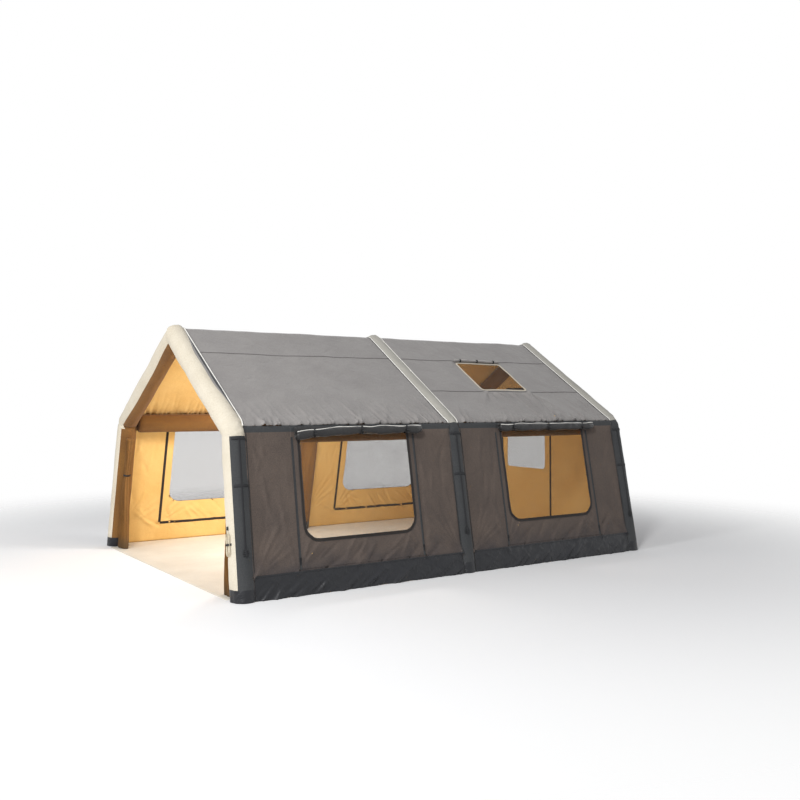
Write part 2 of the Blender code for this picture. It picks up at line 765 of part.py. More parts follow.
def add_door_panel(name, parent, outline, opening, tape_xs, tape_low, tape_high, place):
    """Add a cloth door with its window opening and its zip tapes.

    place is the matrix from the door's own plane to the parent's frame. The door's outer
    face is at zero and its cloth lies behind it.
    """
    door = add_piece(name, prism(outline, -CLOTH_THICKNESS, 0.0), "wall", parent, smooth=False)
    door.matrix_local = place
    overrun = CLOTH_THICKNESS
    cutter = add_piece(
        f"{name}_window_shape",
        prism(opening, -CLOTH_THICKNESS - overrun, overrun),
        "wall",
        door,
        smooth=False,
    )
    combine(door, cutter, "DIFFERENCE")
    for i, x in enumerate(tape_xs):
        tape = add_piece(
            f"{name}_tape_shape_{i + 1}",
            box_mesh(
                (x - ZIP_TAPE_WIDTH / 2, tape_low, -CLOTH_THICKNESS / 2),
                (x + ZIP_TAPE_WIDTH / 2, tape_high, ZIP_TAPE_HEIGHT),
            ),
            "zip",
            door,
            smooth=False,
        )
        combine(door, tape, "UNION")
    return door


def add_side_door(name, frame, middle, roll_shift, droop):
    """Add one side door: panel, window net, rolled cover and two zip sliders."""
    hinge_place = Matrix.Translation((middle, DOOR_TOP, -CLOTH_OUTER_DEPTH))
    hinge = frame_empty(f"{name}_side_door_hinge", hinge_place, frame)
    half = DOOR_HALF_WIDTH - DOOR_GAP
    low = DOOR_SILL + DOOR_GAP
    high = DOOR_TOP - DOOR_GAP
    outline = ((-half, low), (half, low), (half, high), (-half, high))
    opening = rounded_outline(
        WINDOW_HALF_WIDTH,
        WINDOW_SILL,
        WINDOW_TOP,
        WINDOW_CORNER_RADIUS,
        WINDOW_TOP_CORNER_RADIUS,
    )
    tape_x = half - ZIP_TAPE_WIDTH / 2 - DOOR_GAP
    tape_low = low + DOOR_GAP
    tape_high = DOOR_TOP - ROLL_DROP - ROLL_RADIUS - DOOR_GAP
    to_hinge = Matrix.Translation((0, -DOOR_TOP, 0))
    add_door_panel(
        f"{name}_side_door",
        hinge,
        outline,
        opening,
        (-tape_x, tape_x),
        tape_low,
        tape_high,
        to_hinge,
    )
    rim = rounded_outline(
        WINDOW_HALF_WIDTH + BINDING_WIDTH,
        WINDOW_SILL - BINDING_WIDTH,
        WINDOW_TOP + BINDING_WIDTH,
        WINDOW_CORNER_RADIUS + BINDING_WIDTH,
        WINDOW_TOP_CORNER_RADIUS + BINDING_WIDTH,
    )
    add_screen(
        f"{name}_window_net",
        hinge,
        opening,
        rim,
        lambda x, y, z: (x, y - DOOR_TOP, z + SEAT_GAP),
    )
    roll_out = SEAT_GAP + BINDING_HEIGHT + SEAT_GAP + ROLL_RADIUS
    add_roll(
        f"{name}_window_cover",
        hinge,
        (roll_shift, -ROLL_DROP, roll_out),
        DOOR_HALF_WIDTH + ROLL_OVERHANG,
        ROLL_RADIUS,
        droop=droop,
    )
    for end, sign in (("front", -1), ("back", 1)):
        add_slider(
            f"{name}_{end}_slider",
            hinge,
            sign * tape_x,
            tape_low + SLIDER_SILL_RISE - DOOR_TOP,
            ZIP_TAPE_HEIGHT + SEAT_GAP,
        )


def add_rear_gable():
    """Add the rear gable wall and its hinged door."""
    outer_y = ARCH_CENTRES[-1] + CLOTH_THICKNESS / 2
    seam = -ARCH_RADIUS - SEAT_GAP
    outline = [(-x, z) for x, z in arch_line(seam, 0.0)]
    place = axes_matrix((-1, 0, 0), (0, 0, 1), (0, 1, 0), (0, outer_y, 0))
    frame = frame_empty("rear_gable_frame", place)
    wall = add_piece(
        "rear_gable_wall", prism(outline, -CLOTH_THICKNESS, 0.0), "wall", frame, smooth=False
    )
    doorway = rounded_outline(
        REAR_DOOR_HALF_WIDTH,
        REAR_DOOR_SILL,
        REAR_DOOR_TOP,
        SEAT_GAP,
        REAR_DOOR_CORNER_RADIUS,
    )
    cutter = add_piece(
        "rear_doorway_shape",
        prism(doorway, -2 * CLOTH_THICKNESS, CLOTH_THICKNESS),
        "wall",
        frame,
        smooth=False,
    )
    combine(wall, cutter, "DIFFERENCE")
    add_rear_door(frame)


def add_rear_door(frame):
    """Add the rear door, hinged at its far edge, with net, rolled cover and slider."""
    hinge_place = Matrix.Translation((REAR_DOOR_HALF_WIDTH, 0, 0))
    hinge = frame_empty("rear_door_hinge", hinge_place, frame)
    half = REAR_DOOR_HALF_WIDTH - DOOR_GAP
    low = REAR_DOOR_SILL + DOOR_GAP
    high = REAR_DOOR_TOP - DOOR_GAP
    outline = rounded_outline(half, low, high, SEAT_GAP, REAR_DOOR_CORNER_RADIUS)
    radius = WINDOW_TOP_CORNER_RADIUS
    opening = rounded_outline(
        REAR_WINDOW_HALF_WIDTH, REAR_WINDOW_SILL, REAR_WINDOW_TOP, radius, radius
    )
    tape_x = ZIP_TAPE_WIDTH / 2 + DOOR_GAP - half
    tape_low = low + DOOR_GAP
    tape_high = high - REAR_DOOR_CORNER_RADIUS
    to_hinge = Matrix.Translation((-REAR_DOOR_HALF_WIDTH, 0, 0))
    add_door_panel(
        "rear_door", hinge, outline, opening, (tape_x,), tape_low, tape_high, to_hinge
    )
    rim = rounded_outline(
        REAR_WINDOW_HALF_WIDTH + BINDING_WIDTH,
        REAR_WINDOW_SILL - BINDING_WIDTH,
        REAR_WINDOW_TOP + BINDING_WIDTH,
        radius + BINDING_WIDTH,
        radius + BINDING_WIDTH,
    )
    add_screen(
        "rear_door_net",
        hinge,
        opening,
        rim,
        lambda x, y, z: (x - REAR_DOOR_HALF_WIDTH, y, z + SEAT_GAP),
    )
    roll_up = REAR_WINDOW_TOP + BINDING_WIDTH + SEAT_GAP + REAR_ROLL_RADIUS
    add_roll(
        "rear_door_cover",
        hinge,
        (-REAR_DOOR_HALF_WIDTH, roll_up, SEAT_GAP + REAR_ROLL_RADIUS),
        REAR_WINDOW_HALF_WIDTH + BINDING_WIDTH,
        REAR_ROLL_RADIUS,
    )
    add_slider(
        "rear_door_slider",
        hinge,
        tape_x - REAR_DOOR_HALF_WIDTH,
        tape_low + SLIDER_SILL_RISE,
        ZIP_TAPE_HEIGHT + SEAT_GAP,
    )


def add_curtain(side_name, side):
    """Add one half of the front door, gathered and tied back along its leg."""
    frame = frame_empty(f"{side_name}_curtain_frame", wall_frame(side, ARCH_CENTRES[0]))
    floor = SHEET_THICKNESS + SEAT_GAP
    tie_low = CURTAIN_WAIST - TIE_WIDTH / 2
    tie_high = CURTAIN_WAIST + TIE_WIDTH / 2
    collar = CURTAIN_WAIST_HALF_WIDTH + TIE_THICKNESS
    middle = (CURTAIN_WAIST_HALF_WIDTH + CURTAIN_FOOT_HALF_WIDTH) / 2
    stations = (
        (None, CURTAIN_FOOT_HALF_WIDTH),
        (CURTAIN_WAIST / 3, middle),
        (CURTAIN_WAIST * 2 / 3, (middle + CURTAIN_WAIST_HALF_WIDTH) / 2),
        (tie_low, CURTAIN_WAIST_HALF_WIDTH),
        (tie_low, collar),
        (tie_high, collar),
        (tie_high, CURTAIN_WAIST_HALF_WIDTH),
        ((CURTAIN_WAIST + CURTAIN_TOP) / 2, CURTAIN_TOP_HALF_WIDTH),
        (CURTAIN_TOP, CURTAIN_TOP_HALF_WIDTH),
    )
    bm = bmesh.new()
    rings = []
    for up, half_width in stations:
        ring = []
        for i in range(CURTAIN_SIDES):
            angle = 2 * math.pi * i / CURTAIN_SIDES
            fold = 1 - CURTAIN_FOLD_SHARE * (1 - math.cos(CURTAIN_FOLDS * angle)) / 2
            depth = 2 * ARCH_RADIUS + SEAT_GAP + half_width * (1 - fold * math.cos(angle))
            thickness = min(CURTAIN_HALF_THICKNESS, half_width)
            along = thickness * fold * math.sin(angle)
            place = up
            if place is None:
                place = (floor + depth * math.sin(WALL_TILT)) / math.cos(WALL_TILT)
            ring.append(bm.verts.new((along, place, -depth)))
        rings.append(ring)
    skin_rings(bm, rings)
    add_piece(f"{side_name}_front_curtain", bm, "curtain", frame)


def add_groundsheet():
    """Add the groundsheet, notched round the feet of the arches."""
    wall_x = FOOT_HALF_WIDTH - CLOTH_INNER_DEPTH / math.cos(WALL_TILT)
    lean = SHEET_THICKNESS * math.tan(WALL_TILT)
    half_width = wall_x - lean - SHEET_EDGE_GAP
    notch_x = FOOT_HALF_WIDTH - 2 * ARCH_RADIUS / math.cos(WALL_TILT) - lean - SHEET_EDGE_GAP
    notch = ARCH_RADIUS + SHEET_EDGE_GAP
    front = -TENT_HALF_LENGTH
    back = ARCH_CENTRES[-1] - CLOTH_THICKNESS / 2 - SHEET_EDGE_GAP
    near = [
        (notch_x, front),
        (notch_x, ARCH_CENTRES[0] + notch),
        (half_width, ARCH_CENTRES[0] + notch),
        (half_width, ARCH_CENTRES[1] - notch),
        (notch_x, ARCH_CENTRES[1] - notch),
        (notch_x, ARCH_CENTRES[1] + notch),
        (half_width, ARCH_CENTRES[1] + notch),
        (half_width, ARCH_CENTRES[2] - notch),
        (notch_x, ARCH_CENTRES[2] - notch),
        (notch_x, back),
    ]
    outline = near + [(-x, y) for x, y in reversed(near)]
    bm = prism(outline, 0.0, SHEET_THICKNESS)
    add_piece("groundsheet", bm, "sheet", smooth=False)


def disc(radius, low, high):
    """Return a bmesh disc between two heights."""
    bm = bmesh.new()
    bmesh.ops.create_cone(
        bm,
        cap_ends=True,
        segments=VALVE_SIDES,
        radius1=radius,
        radius2=radius,
        depth=high - low,
        matrix=Matrix.Translation((0, 0, (low + high) / 2)),
    )
    return bm


def add_valve():
    """Add the inflation valve inside the rear near leg, and its flip cap."""
    up = (VALVE_HEIGHT + ARCH_RADIUS * math.sin(WALL_TILT)) / math.cos(WALL_TILT)
    wall = wall_frame(1, ARCH_CENTRES[-1] - ARCH_RADIUS - SEAT_GAP)
    sin, cos = math.sin(WALL_TILT), math.cos(WALL_TILT)
    origin = wall @ Vector((0, up, -ARCH_RADIUS))
    place = axes_matrix((cos, 0, sin), (-sin, 0, cos), (0, -1, 0), origin)
    frame = frame_empty("valve_frame", place)
    flange = disc(VALVE_FLANGE_RADIUS, 0.0, VALVE_FLANGE_THICKNESS)
    valve = add_piece("inflation_valve", flange, "valve", frame)
    top = VALVE_FLANGE_THICKNESS + VALVE_BODY_HEIGHT
    neck = disc(VALVE_BODY_RADIUS, VALVE_FLANGE_THICKNESS / 2, top)
    combine(valve, add_piece("valve_body_shape", neck, "valve", frame), "UNION")
    pivot_z = top + SEAT_GAP
    pivot_y = CAP_RADIUS + CAP_PIVOT_RISE
    hinge = frame_empty("valve_cap_hinge", Matrix.Translation((0, pivot_y, pivot_z)), frame)
    cap = add_piece("valve_cap", disc(CAP_RADIUS, 0.0, CAP_THICKNESS), "valve", hinge)
    cap.location = (0, -pivot_y, 0)


def guy_frame():
    """Frame on the front of the near front leg, at the middle of the hank."""
    sin, cos = math.sin(WALL_TILT), math.cos(WALL_TILT)
    leg = wall_frame(1, ARCH_CENTRES[0] - ARCH_RADIUS)
    origin = leg @ Vector((0, GUY_HEIGHT, -ARCH_RADIUS))
    return axes_matrix((cos, 0, sin), (-sin, 0, cos), (0, -1, 0), origin)


def guy_loop(turn, half_width):
    """Place on a loop of the hank, drawn in at its waist."""
    rise = GUY_WAIST_SHARPNESS * math.sin(turn)
    waist = 1 - GUY_WAIST_SHARE / math.cosh(rise) ** 2
    run = GUY_RUN_HALF_LENGTH * math.tanh(rise)
    return half_width * math.cos(turn) * waist, run + half_width * math.sin(turn)


def guy_route():
    """Points of the guy line: a lead from its anchor, then its loops, outermost first."""
    height = SEAT_GAP + GUY_DIAMETER / 2
    count = GUY_LOOPS * GUY_LOOP_POINTS
    widest = GUY_INNER_HALF_WIDTH + GUY_LOOPS * GUY_PITCH
    first = guy_loop(GUY_START_ANGLE, widest)
    lead_x = first[0] - GUY_LEAD / 2
    top = first[1] + GUY_LEAD
    points = [(lead_x, top, height), (lead_x, top - 2 * GUY_DIAMETER, height)]
    for k in range(count + 1):
        half_width = widest - GUY_PITCH * k / GUY_LOOP_POINTS
        turn = GUY_START_ANGLE - 2 * math.pi * k / GUY_LOOP_POINTS
        points.append((*guy_loop(turn, half_width), height))
    return points


def segment_gap(a, b, c, d):
    """Least distance between two short segments, from samples along them."""
    samples = [i / (GUY_GAP_SAMPLES - 1) for i in range(GUY_GAP_SAMPLES)]
    return min((a.lerp(b, s) - c.lerp(d, t)).length for s in samples for t in samples)


def hank_gap(points):
    """Least gap between the hank's own turns."""
    places = [Vector(point) for point in points]
    least = math.inf
    for i in range(len(places) - 1):
        for j in range(i + GUY_LOOP_POINTS // 2, len(places) - 1):
            gap = segment_gap(places[i], places[i + 1], places[j], places[j + 1])
            least = min(least, gap - GUY_DIAMETER)
    return least


def add_guy_line(sleeve):
    """Add the guy line's hank, with its anchor and its tie sewn to the sleeve."""
    frame = frame_empty("guy_line_frame", guy_frame())
    points = guy_route()
    curve = bpy.data.curves.new("guy_line_hank", "CURVE")
    curve.dimensions = "3D"
    curve.bevel_depth = GUY_DIAMETER / 2
    curve.bevel_resolution = 1
    curve.use_fill_caps = True
    spline = curve.splines.new("POLY")
    spline.points.add(len(points) - 1)
    for target, place in zip(spline.points, points):
        target.co = (*place, 1)
    hank = bpy.data.objects.new("guy_line_hank", curve)
    bpy.context.collection.objects.link(hank)
    curve.materials.append(material("cord"))
    hank.parent = frame
    print(f"Least gap between the guy line's turns: {hank_gap(points) * 1000:.2f} mm")
    anchor_x, anchor_low = points[0][0], points[0][1] + SEAT_GAP
    left = anchor_x - GUY_ANCHOR_WIDTH / 2
    right = anchor_x + GUY_ANCHOR_WIDTH / 2
    profile = (
        (left, root_height(left)),
        (right, root_height(right)),
        (right, GUY_ANCHOR_THICKNESS),
        (left, GUY_ANCHOR_THICKNESS),
    )
    anchor = add_sewn("guy_anchor_shape", frame, profile, anchor_low, anchor_low + GUY_ANCHOR_HEIGHT)
    combine(sleeve, anchor, "UNION")
    combine(sleeve, add_guy_tie(frame), "UNION")


def add_guy_tie(frame):
    """Add the shape of the tie that bridges the hank's waist."""
    widest = GUY_INNER_HALF_WIDTH + GUY_LOOPS * GUY_PITCH
    inner = widest * (1 - GUY_WAIST_SHARE) + GUY_DIAMETER / 2 + GUY_TIE_GAP
    outer = inner + GUY_TIE_THICKNESS
    under = SEAT_GAP + GUY_DIAMETER + GUY_TIE_GAP
    over = under + GUY_TIE_THICKNESS
    profile = (
        (-outer, root_height(outer)),
        (-outer, over),
        (outer, over),
        (outer, root_height(outer)),
        (inner, root_height(inner)),
        (inner, under),
        (-inner, under),
        (-inner, root_height(inner)),
    )
    return add_sewn("guy_tie_shape", frame, profile, -GUY_TIE_HEIGHT / 2, GUY_TIE_HEIGHT / 2)


def add_sewn(name, frame, profile, low, high):
    """Add a shape sewn to the sleeve: a profile across the leg, run along it."""
    bm = bmesh.new()
    rings = [[bm.verts.new((x, y, z)) for x, z in profile] for y in (low, high)]
    skin_rings(bm, rings)
    return add_piece(name, bm, "webbing", frame, smooth=False)


def root_height(offset):
    """Height of the middle of the sleeve's wall, from the leg's front line, to one side."""
    reach = ARCH_RADIUS - SLEEVE_THICKNESS / 2
    step = 2 * math.pi / TUBE_SIDES
    turns = [step * i for i in range(TUBE_SIDES // 4)]
    corners = [(reach * math.sin(turn), reach * math.cos(turn)) for turn in turns]
    for (x0, z0), (x1, z1) in zip(corners, corners[1:]):
        if x0 <= offset <= x1:
            return z0 + (z1 - z0) * (offset - x0) / (x1 - x0) - ARCH_RADIUS
    return -ARCH_RADIUS


def build():
    """Build the whole tent."""
    clear_scene()
    sleeves = [add_arch(name, y) for name, y in zip(ARCH_NAMES, ARCH_CENTRES)]
    add_beams()
    for bay_name, bay, offset in BAYS:
        for side_name, side in SIDES:
            has_skylight = side > 0 and bay_name == "rear"
            add_roof_panel(side_name, side, bay_name, bay, has_skylight)
            add_side_wall(side_name, side, bay_name, bay, offset)
    add_rear_gable()
    for side_name, side in SIDES:
        add_curtain(side_name, side)
    add_groundsheet()
    add_valve()
    add_guy_line(sleeves[0])


build()
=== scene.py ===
"""Dresses a two-bay inflatable cabin tent in cloth, webbing, netting and zips.

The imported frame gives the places. Lengths are metres, +Z is up, the open front gable is
at -Y and the near side, which has the skylight, is at +X.
"""
import logging
import math
import random
from collections.abc import Callable, Iterable, Iterator, Sequence
from dataclasses import dataclass, field
from enum import Enum, IntEnum
from typing import Any

import bmesh
import bpy
from mathutils import Matrix, Vector, noise

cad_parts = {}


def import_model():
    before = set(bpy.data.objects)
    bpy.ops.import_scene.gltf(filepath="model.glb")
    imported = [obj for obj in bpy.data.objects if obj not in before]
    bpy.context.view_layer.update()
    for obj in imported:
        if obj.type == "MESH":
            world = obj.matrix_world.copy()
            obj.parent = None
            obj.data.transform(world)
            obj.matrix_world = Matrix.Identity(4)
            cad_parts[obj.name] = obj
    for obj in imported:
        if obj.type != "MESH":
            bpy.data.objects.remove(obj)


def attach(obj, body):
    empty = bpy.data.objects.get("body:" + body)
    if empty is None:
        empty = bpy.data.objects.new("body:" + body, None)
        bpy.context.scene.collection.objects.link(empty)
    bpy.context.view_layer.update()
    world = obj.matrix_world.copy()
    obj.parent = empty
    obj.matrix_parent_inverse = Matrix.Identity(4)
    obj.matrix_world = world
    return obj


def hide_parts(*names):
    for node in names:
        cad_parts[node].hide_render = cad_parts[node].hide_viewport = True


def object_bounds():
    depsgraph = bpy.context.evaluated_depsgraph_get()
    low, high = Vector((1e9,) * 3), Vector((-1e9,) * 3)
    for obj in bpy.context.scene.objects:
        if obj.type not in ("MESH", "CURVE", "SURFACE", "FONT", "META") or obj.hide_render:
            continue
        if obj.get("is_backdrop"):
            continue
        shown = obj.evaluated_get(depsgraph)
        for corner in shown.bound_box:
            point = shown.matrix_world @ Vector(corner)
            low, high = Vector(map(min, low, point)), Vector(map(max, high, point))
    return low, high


LOG = logging.getLogger("tent")

# Section of the tent, as the frame has it
FOOT_HALF_WIDTH = 1.80
WALL_LEAN = 0.28
EAVE_HEIGHT = 1.44
ROOF_RISE = 0.945
TENT_HALF_LENGTH = 2.40
ARCH_RADIUS = 0.105
EAVE_BEND_RADIUS = 0.13
RIDGE_BEND_DEPTH = 0.040
BEAM_RADIUS = 0.10
SEAT_GAP = 0.0003
CLOTH_SPACE = 0.004
HEM_HEIGHT = 0.002
CLOTH_THICKNESS = 0.0012
SEAM_TUCK = 0.014

# How far a cloth may sink over a beam, and how much more per metre away from it
BEAM_GIVE = 0.0022
BEAM_GIVE_SLOPE = 0.15

# Sewn trimmings: thickness, height of the back above the cloth and spacing of points,
# and the spacing of the places round which folds calm down
TAPE_THICKNESS = 0.0016
TAPE_BASE = 0.0002
TAPE_STEP = 0.02
BINDING_THICKNESS = 0.0028
BINDING_BASE = 0.0006
NET_THICKNESS = 0.0006
FLAP_THICKNESS = 0.0014
COIL_RADIUS = 0.0026
CALM_STEP = 0.035

EAVE_HALF_WIDTH = FOOT_HALF_WIDTH - WALL_LEAN
RIDGE_HEIGHT = EAVE_HEIGHT + ROOF_RISE
WALL_RUN = math.hypot(WALL_LEAN, EAVE_HEIGHT)
ROOF_RUN = math.hypot(EAVE_HALF_WIDTH, ROOF_RISE)
WALL_TILT = math.atan2(WALL_LEAN, EAVE_HEIGHT)
ROOF_SLOPE = math.atan2(ROOF_RISE, EAVE_HALF_WIDTH)
EAVE_BEND = math.pi / 2 - WALL_TILT - ROOF_SLOPE
SEAM_ANGLE = math.pi / 4
SEAM_HALF_WIDTH = ARCH_RADIUS * math.sin(SEAM_ANGLE)
CLOTH_INNER_DEPTH = ARCH_RADIUS * (1 - math.cos(SEAM_ANGLE))
CLOTH_OUTER_DEPTH = CLOTH_INNER_DEPTH - CLOTH_SPACE
BEAM_DEPTH = CLOTH_INNER_DEPTH + SEAT_GAP + BEAM_RADIUS
ARCH_CENTRES = (ARCH_RADIUS - TENT_HALF_LENGTH, 0.0, TENT_HALF_LENGTH - ARCH_RADIUS)

BMesh = bmesh.types.BMesh
Point = tuple[float, float]
Placer = Callable[[float, float, float], Vector]


class Place(Enum):
    """A place on the tent that the frame's node names mention."""

    @property
    def label(self) -> str:
        """The place's name in the node names."""
        return self.name.lower()


class Side(Place):
    """The two long sides of the tent."""

    NEAR = 1
    FAR = -1


class Bay(Place):
    """The two bays between the three arches."""

    FRONT = 0
    REAR = 1

    @property
    def span(self) -> Point:
        """Ends of the bay's cloth along the tent."""
        reach = SEAM_HALF_WIDTH + SEAT_GAP
        return ARCH_CENTRES[self.value] + reach, ARCH_CENTRES[self.value + 1] - reach

    @property
    def middle(self) -> float:
        """Middle of the bay along the tent."""
        return sum(self.span) / 2

    @property
    def half(self) -> float:
        """Half the length of the bay's cloth, up to its seams."""
        return (self.span[1] - self.span[0]) / 2


class ArchPlace(Place):
    """The three arches, in order from the front."""

    FRONT = 0
    MID = 1
    REAR = 2

    @property
    def centre(self) -> float:
        """Middle of the arch along the tent."""
        return ARCH_CENTRES[self.value]


# ---------------------------------------------------------------- materials


def linear(code: str) -> tuple[float, float, float, float]:
    """Turn an sRGB hex colour into linear values.

    Args:
        code: Six hex digits after a hash sign.

    Returns:
        Red, green, blue and an alpha of one.
    """
    values = [int(code[i : i + 2], 16) / 255 for i in (1, 3, 5)]
    red, green, blue = (
        v / 12.92 if v <= 0.04045 else ((v + 0.055) / 1.055) ** 2.4 for v in values
    )
    return red, green, blue, 1.0


# A wave texture of scale 1 repeats every 2 pi / 20 of its coordinate
WAVE_PERIOD = 2 * math.pi / 20
Socket = bpy.types.NodeSocket


@dataclass
class Graph:
    """A node tree, with short ways to add what the finishes share."""

    tree: bpy.types.NodeTree

    def feed(self, node: bpy.types.Node, inputs: dict) -> None:
        """Set sockets of a node.

        Args:
            node: The node.
            inputs: Socket name or number to a value, or to the socket that feeds it.
        """
        for key, value in inputs.items():
            if isinstance(value, Socket):
                self.tree.links.new(value, node.inputs[key])
            else:
                node.inputs[key].default_value = value

    def add(self, kind: str, inputs: dict | None = None, **settings) -> bpy.types.Node:
        """Add a node.

        Args:
            kind: Blender's name of the node type, without its prefix.
            inputs: Socket name or number to a value, or to the socket that feeds it.
            settings: Properties of the node.

        Returns:
            The new node.
        """
        node = self.tree.nodes.new("ShaderNode" + kind)
        for key, value in settings.items():
            setattr(node, key, value)
        self.feed(node, inputs or {})
        return node

    def shade(self, **inputs) -> None:
        """Set sockets of the Principled shader, with underscores for spaces."""
        shader = self.tree.nodes["Principled BSDF"]
        self.feed(shader, {key.replace("_", " "): value for key, value in inputs.items()})

    def uv(self) -> Socket:
        """Coordinates on the piece's flat cut, in metres."""
        return self.add("UVMap", uv_map="UVMap").outputs["UV"]

    def place(self) -> Socket:
        """Place in the tent, in metres."""
        return self.add("TexCoord").outputs["Object"]

    def noise(self, at: Socket, scale: float, **inputs: float) -> Socket:
        """Pattern of clouds, with a scale in repeats per metre."""
        return self.add("TexNoise", {"Vector": at, "Scale": scale, **inputs}).outputs["Fac"]

    def bands(self, at: Socket, repeat: float, axis: str, distortion: float = 0.0) -> Socket:
        """Soft bands across an axis, a given distance apart."""
        inputs = {"Vector": at, "Scale": WAVE_PERIOD / repeat, "Distortion": distortion}
        return self.add("TexWave", inputs, bands_direction=axis).outputs["Fac"]

    def math(self, operation: str, *values: float | Socket) -> Socket:
        """Result of an operation on the values."""
        return self.add("Math", dict(enumerate(values)), operation=operation).outputs[0]

    def spread(self, value: Socket, smooth: bool = False, **limits: float) -> Socket:
        """Spread a value over a new range, with underscores for spaces in the limits."""
        inputs = {key.replace("_", " "): limit for key, limit in limits.items()}
        kind = "SMOOTHSTEP" if smooth else "LINEAR"
        node = self.add("MapRange", {"Value": value, **inputs}, interpolation_type=kind)
        return node.outputs["Result"]

    def mix(self, share: Socket, first: str | Socket, second: str | Socket) -> Socket:
        """Mix two colours, each a hex code or a socket."""
        inputs = {"Factor": share}
        for number, colour in enumerate((first, second), 6):
            inputs[number] = linear(colour) if isinstance(colour, str) else colour
        return self.add("Mix", inputs, data_type="RGBA").outputs[2]

    def bump(self, height: Socket, strength: float, depth: float, **below: Socket) -> Socket:
        """Normal raised by a pattern, over the normal that is given, if any."""
        inputs = {"Height": height, "Strength": strength, "Distance": depth, **below}
        return self.add("Bump", inputs).outputs["Normal"]


class Finish:
    """A finish whose material is built on first use."""

    made: dict[str, bpy.types.Material] = {}
    name: str

    def material(self) -> bpy.types.Material:
        """Return the material, built on first use."""
        if self.name not in Finish.made:
            made = bpy.data.materials.new(self.name)
            made.use_nodes = True
            self.dress(Graph(made.node_tree))
            Finish.made[self.name] = made
        return Finish.made[self.name]

    def dress(self, graph: Graph) -> None:
        """Build the nodes of the material, in each kind of finish."""
        raise NotImplementedError


@dataclass(frozen=True)
class Cloth(Finish):
    """A woven, coated tent cloth.

    The thread of real tent cloth is about 0.5 mm, which no view can show, so the weave is
    drawn a few millimetres wide. Soft creases and blotches give the used, packed look.
    """

    name: str
    colour: str
    shade: str
    roughness: float = 0.85
    thread: float = 0.004
    weave_depth: float = 0.0004
    crease_size: float = 0.09
    crease_depth: float = 0.004
    sheen: float = 0.12
    gloss: float = 0.25
    # Colour towards the ground: dust on the sleeves and the door, painted shade on the walls
    dust_and_shade: str = ""
    dust_and_shade_height: float = 0.10

    def dress(self, graph: Graph) -> None:
        """Build a cloth with mottled colour, a plain weave and fine creases."""
        uv = graph.uv()
        blotch = graph.noise(uv, 2.6, Detail=5.0, Roughness=0.6)
        tones = graph.math("ADD", blotch, graph.noise(uv, 95.0, Detail=2.0))
        share = graph.spread(tones, From_Min=0.72, From_Max=1.28)
        colour = graph.mix(share, self.colour, self.shade)
        if self.dust_and_shade:
            colour = self.darken_with_dust_and_shade(graph, colour)
        graph.shade(
            Base_Color=colour,
            Roughness=self.roughness,
            Sheen_Weight=self.sheen,
            Sheen_Roughness=0.5,
            Specular_IOR_Level=self.gloss,
            Normal=self.relief(graph, uv),
        )

    def darken_with_dust_and_shade(self, graph: Graph, colour: Socket) -> Socket:
        """Darken the cloth towards the ground: dust on the sleeves and the door, painted shade on
        the walls.

        Args:
            graph: The material's nodes.
            colour: The colour before darkening.

        Returns:
            The socket of the darkened colour.
        """
        place, reach = graph.place(), self.dust_and_shade_height
        patch = graph.noise(place, 7.0, Detail=6.0)
        height = graph.add("SeparateXYZ", {0: place}).outputs["Z"]
        ragged = graph.math("MULTIPLY_ADD", patch, -reach * 1.6, height)
        share = graph.spread(
            ragged, smooth=True, From_Min=-reach, From_Max=reach, To_Min=0.85, To_Max=0.0
        )
        return graph.mix(share, colour, self.dust_and_shade)

    def relief(self, graph: Graph, uv: Socket) -> Socket:
        """Raise the weave and the fine creases.

        Args:
            graph: The material's nodes.
            uv: The cloth's own coordinates, in metres.

        Returns:
            The socket of the bumped normal.
        """
        warp, weft = (graph.bands(uv, self.thread, axis) for axis in "XY")
        weave = graph.math("MULTIPLY", warp, weft)
        creases = graph.noise(uv, 1 / self.crease_size, Detail=4.0, Distortion=0.7)
        fine = graph.bump(weave, 0.5, self.weave_depth)
        return graph.bump(creases, 0.6, self.crease_depth, Normal=fine)


@dataclass(frozen=True)
class Webbing(Finish):
    """Woven polyester tape, which shows as ribs across its length."""

    name: str
    colour: str
    shade: str
    rib: float = 0.004
    roughness: float = 0.75

    def dress(self, graph: Graph) -> None:
        """Build ribs across the tape."""
        ribs = graph.bands(graph.uv(), self.rib, "Y", 0.4)
        graph.shade(
            Base_Color=graph.mix(ribs, self.shade, self.colour),
            Normal=graph.bump(ribs, 0.5, self.rib / 8),
            Roughness=self.roughness,
        )


@dataclass(frozen=True)
class Netting(Finish):
    """Knitted insect net, which shows as a thin dark veil.

    Real net has holes of 1.5 mm. They are drawn a few millimetres wide.
    """

    name: str
    colour: str
    hole: float = 0.006
    thread_share: float = 0.10
    veil: float = 0.04

    def dress(self, graph: Graph) -> None:
        """Build crossing threads with holes between them."""
        uv, edge = graph.uv(), 1 - self.thread_share
        threads = [
            graph.spread(
                graph.bands(uv, self.hole, axis), From_Min=edge, From_Max=1.0, To_Min=self.veil
            )
            for axis in "XY"
        ]
        cover = graph.math("MAXIMUM", *threads)
        graph.shade(Alpha=cover, Base_Color=linear(self.colour), Roughness=0.9)


@dataclass(frozen=True)
class Moulded(Finish):
    """Moulded plastic or painted die-cast metal, with a fine grained skin."""

    name: str
    colour: str
    roughness: float = 0.4
    metallic: float = 0.0
    grain: float = 0.0015

    def dress(self, graph: Graph) -> None:
        """Build the grained skin."""
        grain = graph.noise(graph.place(), 1 / self.grain)
        low, high = self.roughness - 0.08, self.roughness + 0.12
        graph.shade(
            Base_Color=linear(self.colour),
            Metallic=self.metallic,
            Roughness=graph.spread(grain, To_Min=low, To_Max=high),
            Normal=graph.bump(grain, 0.25, 0.0002),
        )


